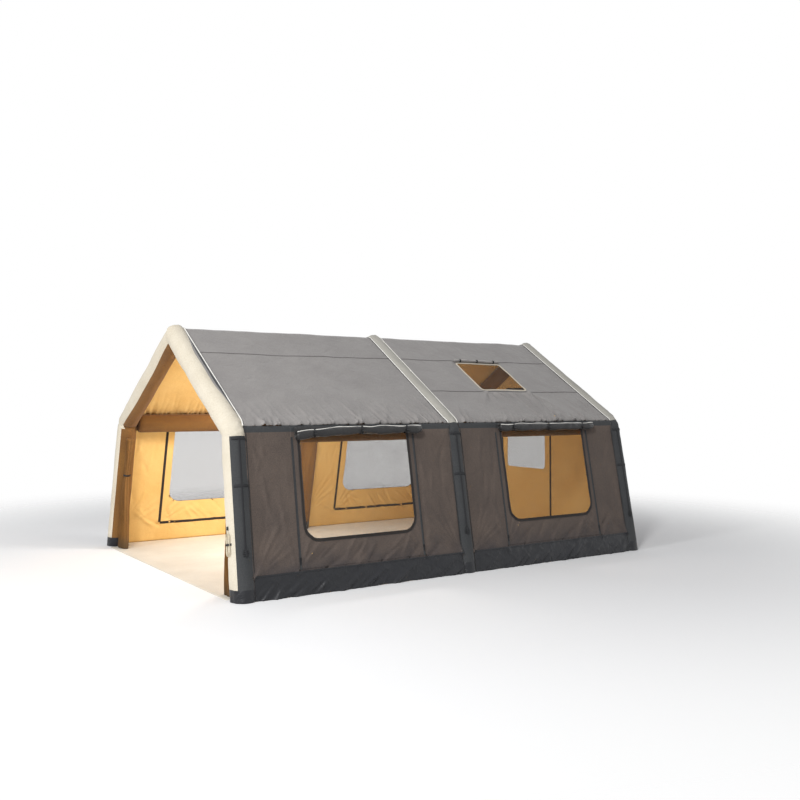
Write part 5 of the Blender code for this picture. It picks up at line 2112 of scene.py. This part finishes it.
@dataclass
class SideWall:
    """A side wall's cloth with its doorway, eave band and skirt."""

    door: SideDoor
    skirt_height: float = 0.205
    skirt_fold: float = 0.007
    fold_length: float = 0.30
    edge_creases: int = 10
    crease_depth: Point = (0.005, 0.009)
    crease_width: Point = (0.014, 0.028)
    skirt_creases: int = 46
    skirt_crease_width: Point = (0.012, 0.019)
    skirt_crease_depth: Point = (0.010, 0.018)
    flap_width: float = 0.030

    def relief(self) -> Relief:
        """Folds of the wall and its door, which run on across the zips.

        Returns:
            The relief of both.
        """
        rng = random.Random(71 + 2 * self.door.bay.value + self.door.side.value)
        folds = self.door.folds(rng)
        half = self.door.bay.half
        for edge in (-1, 1):
            toward = 90 + edge * 40
            angles = (toward - 25, toward + 25)
            folds += fan(rng, (edge * half, 0.20), angles, (0.3, 0.9), 10, 0.018, 0.018)
            toward = -90 - edge * 35
            corner = (edge * half, SECTION.up)
            folds += fan(rng, corner, (toward - 20, toward + 20), (0.2, 0.6), 5, 0.007)
            for _ in range(self.edge_creases):
                x = edge * rng.uniform(self.door.half_width + 0.02, half - 0.03)
                y = rng.uniform(0.3, 1.2)
                end = (x + rng.uniform(-0.1, 0.1), y + rng.uniform(0.2, 0.4))
                depth = rng.uniform(*self.crease_depth) * rng.choice((1, -1))
                width = rng.uniform(*self.crease_width)
                folds.append(Fold((x, y), end, width, depth, pinned=False))
        level = self.door.zip_places
        return Relief(folds, 0.007, 0.30, 5.2 + self.door.bay.value, calm=level)

    def cloth(self, place: Placer) -> None:
        """Make the wall's cloth.

        Args:
            place: Placing of the cloth, with its folds.
        """
        door = self.door
        half, foot, top = door.bay.half + SEAM_TUCK, 0.004, SECTION.eave_up
        left, right = door.middle - door.half_width, door.middle + door.half_width
        doorway = [(left, door.sill), (right, door.sill), (right, door.top), (left, door.top)]
        step = (0.012, 0.015)
        made = piece(
            f"{door.name}_wall_cloth",
            sheet_mesh((-half, foot), (half, top), step, place, [doorway], zone=door.zone),
            BANDED_WALL,
            "tent",
            "wall",
            (f"{door.name}_side_wall",),
            CLOTH_THICKNESS,
            lined=True,
        )
        area = 2 * half * (top - foot) - outline_area(doorway)
        sill, top = door.sill, door.top
        path = spaced([(left, top), (left, sill), (right, sill), (right, top)], 0.012)
        flap = tape(place, path, self.flap_width, FLAP_THICKNESS, base=-0.0030)
        piece(f"{door.name}_zip_flap", flap, (TRIM_CLOTH,), "tent", "wall")

    def skirt(self, place: Placer) -> None:
        """Make the heavier cloth along the wall's foot.

        Args:
            place: Placing of the wall's cloth, with its folds.
        """
        door = self.door
        half, foot = door.bay.half, 0.002
        rng = random.Random(91 + 2 * door.bay.value + door.side.value)
        waves = max(1, round(2 * half / self.fold_length))
        folds = []
        for _ in range(self.skirt_creases):
            start = (rng.uniform(-1.15, 1) * half, rng.uniform(-0.05, 0.04))
            end = (start[0] + rng.uniform(0.20, 0.40), rng.uniform(0.17, 0.28))
            width = rng.uniform(*self.skirt_crease_width)
            folds.append(Fold(start, end, width, rng.uniform(*self.skirt_crease_depth)))
        relief = Relief(folds, wave=0.005, wave_size=0.2, seed=9.4 + door.bay.value)

        def at(x: float, y: float, lift: float = 0.0) -> Vector:
            """Place a point of the skirt."""
            swell = self.skirt_fold * (1 - y / self.skirt_height)
            wave = (1 - math.cos(math.pi * waves * (x + half) / half)) / 2
            rise = relief.at(x, y) * smooth((self.skirt_height - y) / 0.06)
            return place(x, y, lift + 0.0036 + swell * wave + max(rise, -0.002))

        made = piece(
            f"{door.name}_skirt_cloth",
            sheet_mesh((-half, foot), (half, self.skirt_height), (0.0105, 0.0105), at),
            (SKIRT_CLOTH,),
            "tent",
            "skirt",
            (f"{door.name}_skirt",),
            CLOTH_THICKNESS,
        )
        middle = self.skirt_height - 0.007
        line = spaced([(-half, middle), (half, middle)], TAPE_STEP)
        hem = tape(at, line, 0.014, TAPE_THICKNESS, base=TAPE_BASE)
        piece(f"{door.name}_skirt_hem", hem, (SKIRT_CLOTH,), "tent", "skirt")

    def build(self) -> None:
        """Make the wall's pieces and its door."""
        place = wall_placer(self.door.side, self.door.bay, self.relief())
        self.cloth(place)
        self.skirt(place)
        self.door.build(place)


# ---------------------------------------------------------------- rear gable


@dataclass
class RearGable:
    """The cloth inside the rear arch, with its hinged door."""

    sill: float = 0.080
    top: float = RIDGE_HEIGHT - 0.605
    half_width: float = 0.450
    corner: float = 0.120
    low_corner: float = 0.002
    flap_width: float = 0.030
    window_sill: float = 0.790
    window_top: float = RIDGE_HEIGHT - 0.825
    window_half_width: float = 0.350
    window_corner: float = 0.040
    binding: float = 0.022
    tape_width: float = 0.022
    roll_radius: float = 0.026
    gap: float = 0.0006

    def placer(self, relief: Relief | None = None) -> Placer:
        """Placing on the gable: x to the far side, y up and height to the rear."""
        plane = ArchPlace.REAR.centre + CLOTH_SPACE / 2

        def place(x: float, y: float, lift: float = 0.0) -> Vector:
            """Place a point of the gable's flat cut."""
            rise = lift + (relief.at(x, y) if relief else 0.0)
            return Vector((-x, plane + rise, max(y, HEM_HEIGHT)))

        return place

    def doorway(self, gap: float = 0.0) -> list[Point]:
        """Outline of the doorway, or of the door with a gap round it."""
        low, high = self.sill + gap, self.top - gap
        return rounded(self.half_width - gap, low, high, self.low_corner, self.corner)

    def window(self, grow: float = 0.0) -> list[Point]:
        """Outline of the window, grown by a margin."""
        low, high = self.window_sill - grow, self.window_top + grow
        radius = self.window_corner + grow
        return rounded(self.window_half_width + grow, low, high, radius, radius)

    def wall(self) -> None:
        """Make the gable's cloth."""
        depth = 2 * ARCH_RADIUS - 0.012
        rng = random.Random(131)
        trims, folds = [], []
        for sign in (-1, 1):
            out = (sign * math.cos(WALL_TILT), math.sin(WALL_TILT))
            trims.append(((sign * FOOT_HALF_WIDTH - out[0] * depth, -out[1] * depth), out))
            out = (sign * math.sin(ROOF_SLOPE), math.cos(ROOF_SLOPE))
            trims.append(((-out[0] * depth, RIDGE_HEIGHT - out[1] * depth), out))
            folds += fan(rng, (sign * 1.25, 1.3), (-90 - sign * 60, -90), (0.3, 0.7), 6, 0.007)
            folds += fan(rng, (sign * 1.5, 0.05), (90, 90 + sign * 70), (0.3, 0.6), 6, 0.007)
        doorway = self.doorway()
        relief = Relief(folds, 0.008, 0.5, 2.2, calm=spaced(doorway, CALM_STEP, closed=True))
        low, high = (-FOOT_HALF_WIDTH, 0.004), (FOOT_HALF_WIDTH, RIDGE_HEIGHT)
        made = piece(
            "rear_gable_cloth",
            sheet_mesh(low, high, (0.02, 0.022), self.placer(relief), [doorway], trims),
            (TAUPE_SHADE_WALL_CLOTH, LINER_GLOW_CLOTH),
            "tent",
            "wall",
            ("rear_gable_wall",),
            CLOTH_THICKNESS,
            lined=True,
        )

    def panel(self, place: Placer) -> None:
        """Make the door's cloth, cut to its outline.

        Args:
            place: Placing of the cloth.
        """
        outline = self.doorway(self.gap)
        trims = []
        for (x0, y0), (x1, y1) in zip(outline, (*outline[1:], outline[0])):
            if math.hypot(x1 - x0, y1 - y0) > 1e-6:
                trims.append(((x0, y0), (y1 - y0, x0 - x1)))
        low, high = (-self.half_width, self.sill), (self.half_width, self.top)
        hole = self.window()
        made = piece(
            "rear_door_cloth",
            sheet_mesh(low, high, (0.015, 0.015), place, [hole], trims),
            (TAUPE_SHADE_WALL_CLOTH, LINER_GLOW_CLOTH),
            "rear_door",
            "wall",
            ("rear_door",),
            CLOTH_THICKNESS,
            lined=True,
        )
        area = outline_area(outline) - outline_area(hole)

    def trimmings(self, place: Placer) -> None:
        """Make the door's net, binding and zip tape.

        Args:
            place: Placing of the door's cloth.
        """
        low, high = box_of(self.window(self.binding * 0.5))
        net = piece(
            "rear_door_net_sheet",
            sheet_mesh(low, high, (0.04, 0.04), lambda x, y: place(x, y, 0.0008)),
            (NET,),
            "rear_door",
            "net",
            ("rear_door_net",),
            thickness=NET_THICKNESS,
        )
        edge = spaced(self.doorway(), TAPE_STEP, closed=True)
        gable = self.placer()
        flap = tape(gable, edge, self.flap_width, FLAP_THICKNESS, closed=True, base=-0.0032)
        piece("rear_door_flap", flap, (TRIM_CLOTH,), "tent", "wall")
        path = spaced(self.window(self.binding * 0.5), TAPE_STEP, closed=True)
        ring = tape(place, path, self.binding, BINDING_THICKNESS, closed=True, base=BINDING_BASE)
        piece("rear_door_binding", ring, (TRIM_CLOTH,), "rear_door", "net")
        x = self.tape_width / 2 + 2 * self.gap - self.half_width
        line = spaced([(x, self.sill + 0.002), (x, self.top - self.corner)], TAPE_STEP)
        web = tape(place, line, self.tape_width, TAPE_THICKNESS, base=TAPE_BASE)
        piece("rear_door_zip_tape", web, (SLATE_SHADE_CLOTH,), "rear_door", "zip")
        coil = rod([place(x - 0.008, y, COIL_RADIUS) for _, y in line], COIL_RADIUS)
        piece("rear_door_zip_coil", coil, (COIL_ZIP,), "rear_door", "zip")

    def build(self) -> None:
        """Make the gable's pieces."""
        self.wall()
        rng = random.Random(151)
        folds = []
        for sign in (-1, 1):
            corner = (sign * (self.half_width - 0.03), self.sill + 0.02)
            folds += fan(rng, corner, (90, 90 + sign * 60), (0.2, 0.5), 5, 0.004)
        level = spaced(self.doorway(), CALM_STEP, closed=True)
        place = self.placer(Relief(folds, 0.003, 0.3, 4.4, calm=level))
        self.panel(place)
        self.trimmings(place)
        roll = RolledCover(
            "rear_door_cover_roll",
            "rear_door_cover",
            "rear_door",
            ROLL_CLOTH,
            "rolled_cover",
            self.roll_radius,
            self.window_half_width + self.binding,
            turns=4.5,
            core=0.005,
            seed=6.1,
        )
        up = self.window_top + self.binding + SEAT_GAP + self.roll_radius
        roll.build(0.0, up, SEAT_GAP + self.roll_radius, self.placer())
        refinish("rear_door_slider", ZIP_METAL)


# ---------------------------------------------------------------- front and floor


@dataclass
class FrontCurtain:
    """Half of the front door, gathered in pleats and tied back along its leg."""

    side: Side
    top: float = WALL_RUN - 0.197
    waist_share: float = 0.677
    top_half: float = 0.046
    waist_half: float = 0.034
    foot_half: float = 0.122
    half_thickness: float = 0.052
    pleats: int = 8
    tie_width: float = 0.018

    def half_width(self, y: float) -> float:
        """Half the bundle's width at a height up the leg."""
        waist = self.waist_share * self.top
        if y < waist:
            share = (smooth(y / waist) + y / waist) / 2
            return self.foot_half + (self.waist_half - self.foot_half) * share
        share = smooth((y - waist) / (self.top - waist) * 1.8)
        return self.waist_half + (self.top_half - self.waist_half) * share

    def mesh(self) -> BMesh:
        """Mesh of the pleated cloth, one face thick.

        Returns:
            The sheet.
        """
        matrix = wall_matrix(self.side, ArchPlace.FRONT.centre)
        inner = 2 * ARCH_RADIUS + SEAT_GAP + 0.002

        def hang(u: float, v: float) -> Vector:
            """Place a point of the pleated cloth."""
            half = self.half_width(self.top * v)
            wander = 0.06 * ripple(u * 3, v * 4, 1.3 * self.side.value)
            across = min(max(u + wander * math.sin(math.pi * u), 0.0), 1.0)
            bulge = math.sqrt(max(1 - (2 * across - 1) ** 2, 0.0)) * 0.9 + 0.1
            phase = 2 * math.pi * self.pleats * u
            fold = math.sin(phase) * (0.88 + 0.12 * ripple(u * 9, v * 6, 5.0))
            depth = inner + half * 2 * across * 0.97 + 0.0022 * math.sin(2 * phase)
            ground = (0.004 + depth * math.sin(WALL_TILT)) / math.cos(WALL_TILT)
            up = ground + (self.top - ground) * v
            reach = min(self.half_thickness, half * 1.05) * bulge * fold * 0.95
            return matrix @ Vector((reach, up, -depth))

        return surface(self.pleats * 14, 64, hang, (1.15, self.top))

    def tie(self) -> BMesh:
        """Webbing loop round the bundle's waist.

        Returns:
            The closed mesh.
        """
        matrix = wall_matrix(self.side, ArchPlace.FRONT.centre)
        reach = self.waist_half + 0.001
        depth = 2 * ARCH_RADIUS + SEAT_GAP + 0.002 + self.waist_half
        up = self.waist_share * self.top

        def around(a: float, b: float, height: float) -> Vector:
            """Place a point of the loop round the bundle."""
            out = (reach + height) * math.cos(b / reach)
            along = (reach * 1.03 + height) * math.sin(b / reach)
            return matrix @ Vector((along, up + a, -depth - out))

        path = [(0.0, 2 * math.pi * reach * i / 32) for i in range(33)]
        return tape(around, path, self.tie_width, 0.0018, closed=True)

    def build(self) -> None:
        """Make the curtain's pieces."""
        name = f"{self.side.label}_front_curtain"
        finishes = (DOOR_CLOTH,)
        made = piece(
            f"{name}_cloth", self.mesh(), finishes, "tent", "door_cloth", (name,), 0.0010
        )
        piece(f"{name}_tie", self.tie(), (BLACK_WEBBING,), "tent", "zip")


@dataclass
class Groundsheet:
    """The floor's cloth, notched round the feet of the arches."""

    thickness: float = 0.003
    edge_gap: float = 0.0015
    creases: int = 60
    crease_width: Point = (0.008, 0.02)
    crease_depth: float = 0.0022

    def notches(self, half: float, front: float, back: float) -> list[list[Point]]:
        """Outlines that are cut out round the feet.

        Args:
            half: Half the sheet's width.
            front: Its front edge.
            back: Its rear edge.

        Returns:
            The outlines.
        """
        lean = self.thickness * math.tan(WALL_TILT)
        inner = FOOT_HALF_WIDTH - 2 * ARCH_RADIUS / math.cos(WALL_TILT) - lean - self.edge_gap
        reach = ARCH_RADIUS + self.edge_gap
        holes = []
        for arch in ArchPlace:
            low = front - 0.1 if arch is ArchPlace.FRONT else arch.centre - reach
            high = back + 0.1 if arch is ArchPlace.REAR else arch.centre + reach
            for sign in (-1, 1):
                left, right = sorted((sign * inner, sign * (half + 0.1)))
                holes.append([(left, low), (right, low), (right, high), (left, high)])
        return holes

    def build(self) -> None:
        """Make the groundsheet."""
        lean = self.thickness * math.tan(WALL_TILT)
        half = FOOT_HALF_WIDTH - CLOTH_INNER_DEPTH / math.cos(WALL_TILT) - lean - self.edge_gap
        front = -TENT_HALF_LENGTH
        back = ArchPlace.REAR.centre - CLOTH_SPACE / 2 - self.edge_gap
        rng = random.Random(171)
        folds = []
        for _ in range(self.creases):
            start = (rng.uniform(-1.5, 1.5), rng.uniform(-2.3, 2.1))
            angle, length = rng.uniform(0, math.pi), rng.uniform(0.15, 0.5)
            end = (start[0] + length * math.cos(angle), start[1] + length * math.sin(angle))
            width = rng.uniform(*self.crease_width)
            folds.append(Fold(start, end, width, self.crease_depth, pinned=False))
        relief = Relief(folds, wave=0.0)

        def lie(x: float, y: float) -> Vector:
            """Place a point of the groundsheet."""
            return Vector((x, y, self.thickness - 0.001 + relief.at(x, y)))

        holes = self.notches(half, front, back)
        made = piece(
            "groundsheet_cloth",
            sheet_mesh((-half, front), (half, back), (0.03, 0.03), lie, holes),
            (FLOOR_CLOTH,),
            "tent",
            "groundsheet",
            ("groundsheet",),
            thickness=0.0015,
        )


@dataclass
class GuyLine:
    """The guy line of the near front leg, wound in a hank on the leg."""

    diameter: float = 0.005
    loops: int = 4
    loop_points: int = 24
    inner_half: float = 0.017
    run_half: float = 0.046
    pitch: float = 0.0090
    waist_share: float = 0.32
    sharpness: float = 3.0
    start: float = math.radians(60)
    height: float = 0.480
    lead: float = 0.030

    @property
    def matrix(self) -> Matrix:
        """Frame on the front of the near front leg, at the middle of the hank."""
        sin, cos = math.sin(WALL_TILT), math.cos(WALL_TILT)
        leg = wall_matrix(Side.NEAR, ArchPlace.FRONT.centre - ARCH_RADIUS)
        origin = leg @ Vector((0, self.height, -ARCH_RADIUS))
        return axes_matrix((cos, 0, sin), (-sin, 0, cos), (0, -1, 0), origin)

    @property
    def widest(self) -> float:
        """Half width of the outermost loop before its waist."""
        return self.inner_half + self.loops * self.pitch

    def loop(self, turn: float, half_width: float) -> Point:
        """Place on a loop of the hank, drawn in at its waist."""
        rise = self.sharpness * math.sin(turn)
        waist = 1 - self.waist_share / math.cosh(rise) ** 2
        run = self.run_half * math.tanh(rise)
        return half_width * math.cos(turn) * waist, run + half_width * math.sin(turn)

    def route(self) -> list[Vector]:
        """Points of the line: a lead from its anchor, then its loops, outermost first.

        Returns:
            The points in the tent's frame.
        """
        height = SEAT_GAP + self.diameter / 2
        first = self.loop(self.start, self.widest)
        lead_x, top = first[0] - self.lead / 2, first[1] + self.lead
        points = [(lead_x, top, height), (lead_x, top - 2 * self.diameter, height)]
        for k in range(self.loops * self.loop_points + 1):
            half_width = self.widest - self.pitch * k / self.loop_points
            turn = self.start - 2 * math.pi * k / self.loop_points
            points.append((*self.loop(turn, half_width), height))
        return [self.matrix @ Vector(point) for point in points]

    def fittings(self) -> BMesh:
        """The sewn anchor over the lead's end and the tie over the waist.

        Returns:
            The joined mesh.
        """
        matrix = self.matrix
        first = self.loop(self.start, self.widest)
        x, top = first[0] - self.lead / 2, first[1] + self.lead
        inner = self.widest * (1 - self.waist_share) + self.diameter / 2 + 0.001
        over = SEAT_GAP + self.diameter + 0.001

        def on_leg(a: float, b: float, height: float) -> Vector:
            """Place a point above the leg's round front."""
            bow = ARCH_RADIUS - math.sqrt(max(ARCH_RADIUS**2 - a * a, 0.0))
            return matrix @ Vector((a, b, height - bow))

        def bridge(a: float, b: float, height: float) -> Vector:
            """Place a point of the tie, which passes over the hank."""
            edge = smooth((abs(a) - inner + 0.008) / 0.012)
            bow = ARCH_RADIUS - math.sqrt(max(ARCH_RADIUS**2 - a * a, 0.0))
            return matrix @ Vector((a, b, height + over * (1 - edge) - bow * edge))

        anchor = spaced([(x, top - 0.004), (x, top + 0.026)], 0.006)
        tie = spaced([(-inner - 0.008, 0.0), (inner + 0.008, 0.0)], 0.003)
        band = tape(bridge, tie, 0.018, TAPE_THICKNESS, base=0.0004)
        return joined((tape(on_leg, anchor, 0.022, 0.0072), band))

    def build(self) -> None:
        """Make the guy line and what holds it."""
        points = self.route()
        end = points[-1]
        ring = []
        for i in range(25):
            turn = 2 * math.pi * i / 24
            rise = -0.002 - 0.0022 * math.sin(2 * turn)
            step = (0.0045 * math.sin(turn), rise, 0.005 * math.cos(turn) - 0.005)
            ring.append(end + Vector(step))
        knot = piece(
            "guy_line_knot", rod(ring, 0.0024, 8, closed=True), (GUY_CORD,), "tent", "guy_line"
        )
        line = rod(points, self.diameter / 2, 10)
        nodes = ("guy_line_hank",)
        made = piece("guy_line", line, (GUY_CORD,), "tent", "guy_line", nodes)
        length = sum((b - a).length for a, b in zip(points, points[1:]))
        tuple(points[0])
        [tuple(point) for point in points]
        piece("guy_line_fittings", self.fittings(), (BLACK_WEBBING,), "tent", "sleeve")


# ---------------------------------------------------------------- studio


@dataclass
class Studio:
    """Camera, lamps, world and floor."""

    position: tuple[float, float, float] = (8.704, -5.485, 1.676)
    yaw: float = math.radians(144.47)
    pitch: float = math.radians(4.04)
    roll: float = math.radians(0.33)
    lens: float = 40.926
    shift: Point = (-0.0324, -0.0846)
    sky: float = 0.42
    floor_radius: float = 16.0
    # Each lamp's name, place, aim, length of its side and power in watts
    lamps: tuple[tuple[str, tuple, tuple, float, float], ...] = (
        ("key", (2.5, -10.0, 5.0), (0, -0.5, 1.0), 1.4, 350.0),
        ("side", (7.5, -8.0, 7.5), (0, 0, 1.0), 1.4, 600.0),
        ("cabin", (0.0, -0.6, 1.95), (-0.6, -0.6, 0.0), 0.8, 48.0),
        ("roof", (0.5, -1.5, 0.8), (-0.8, -1.0, 1.8), 0.6, 12.0),
    )

    def camera(self) -> None:
        """Add the camera at the photograph's viewing angle."""
        level = math.cos(self.pitch)
        across = level * math.cos(self.yaw), level * math.sin(self.yaw)
        ahead = Vector((*across, math.sin(self.pitch)))
        right = ahead.cross(Vector((0, 0, 1))).normalized()
        up = right.cross(ahead)
        cos, sin = math.cos(self.roll), math.sin(self.roll)
        axes = (cos * right + sin * up, -sin * right + cos * up, -ahead)
        data = bpy.data.cameras.new("camera")
        data.lens = self.lens
        data.sensor_width = 36.0
        data.shift_x, data.shift_y = self.shift
        camera = bpy.data.objects.new("camera", data)
        camera.matrix_world = axes_matrix(*axes, self.position)
        bpy.context.scene.collection.objects.link(camera)
        bpy.context.scene.camera = camera

    def world(self) -> None:
        """Light evenly from the sky, and show white behind the tent."""
        world = bpy.data.worlds.new("studio")
        world.use_nodes = True
        world.node_tree.nodes.clear()
        graph = Graph(world.node_tree)
        path = graph.add("LightPath").outputs
        seen = path["Is Camera Ray"]
        for name in ("Is Glossy Ray", "Is Transmission Ray"):
            seen = graph.math("MAXIMUM", seen, path[name])
        mixed = {0: seen}
        for number, (colour, strength) in enumerate((("#fbfcff", self.sky), ("#ffffff", 1.0)), 1):
            lit = {"Color": linear(colour), "Strength": strength}
            mixed[number] = graph.add("Background", lit).outputs[0]
        mix = graph.add("MixShader", mixed)
        graph.add("OutputWorld", {"Surface": mix.outputs[0]})
        bpy.context.scene.world = world

    def lights(self) -> None:
        """Add the soft square lamps."""
        for name, place, aim, size, power in self.lamps:
            data = bpy.data.lights.new(name, "AREA")
            data.shape = "SQUARE"
            data.size = size
            data.energy = power
            lamp = bpy.data.objects.new(name, data)
            turn = (Vector(aim) - Vector(place)).to_track_quat("-Z", "Y").to_matrix().to_4x4()
            lamp.matrix_world = Matrix.Translation(place) @ turn
            lamp.visible_camera = False
            bpy.context.scene.collection.objects.link(lamp)

    def floor(self) -> None:
        """Add the plain pale floor, which fades into the white far from the tent."""
        bm = bmesh.new()
        bmesh.ops.create_circle(bm, cap_ends=True, segments=96, radius=self.floor_radius)
        mesh = bpy.data.meshes.new("studio_floor")
        bm.to_mesh(mesh)
        bm.free()
        mesh.materials.append(Painted("painted_floor", "#fafafa").material())
        floor = bpy.data.objects.new("studio_floor", mesh)
        bpy.context.scene.collection.objects.link(floor)
        floor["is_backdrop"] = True

    def build(self) -> None:
        """Set up the studio."""
        self.camera()
        self.world()
        self.floor()
        self.lights()
        bpy.context.scene.view_settings.view_transform = "Standard"


def main() -> None:
    """Load the frame, dress every part of the tent and measure its bounds before and after."""
    logging.basicConfig(level=logging.INFO, format="%(name)s: %(message)s")
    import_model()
    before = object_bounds()
    Studio().build()
    GuyLine().build()
    for place in ArchPlace:
        Arch(place).build()
    eave_x, eave_z = SECTION.eave_centre
    for bay in Bay:
        Beam(f"{bay.label}_ridge_beam", SECTION.ridge_centre, bay).build()
        RoofCloth(bay, Skylight() if bay is Bay.REAR else None).build()
        for side in Side:
            name = f"{side.label}_{bay.label}_eave_beam"
            Beam(name, (side.value * eave_x, eave_z), bay).build()
            SideWall(SideDoor(side, bay)).build()
    RearGable().build()
    for side in Side:
        FrontCurtain(side).build()
    Groundsheet().build()
    refinish("inflation_valve", VALVE_PLASTIC)
    refinish("valve_cap", VALVE_PLASTIC)
    sizes = {"cad": before, "visual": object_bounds()}
    lists = {key: [list(corner) for corner in box] for key, box in sizes.items()}


if __name__ == "__main__":
    main()
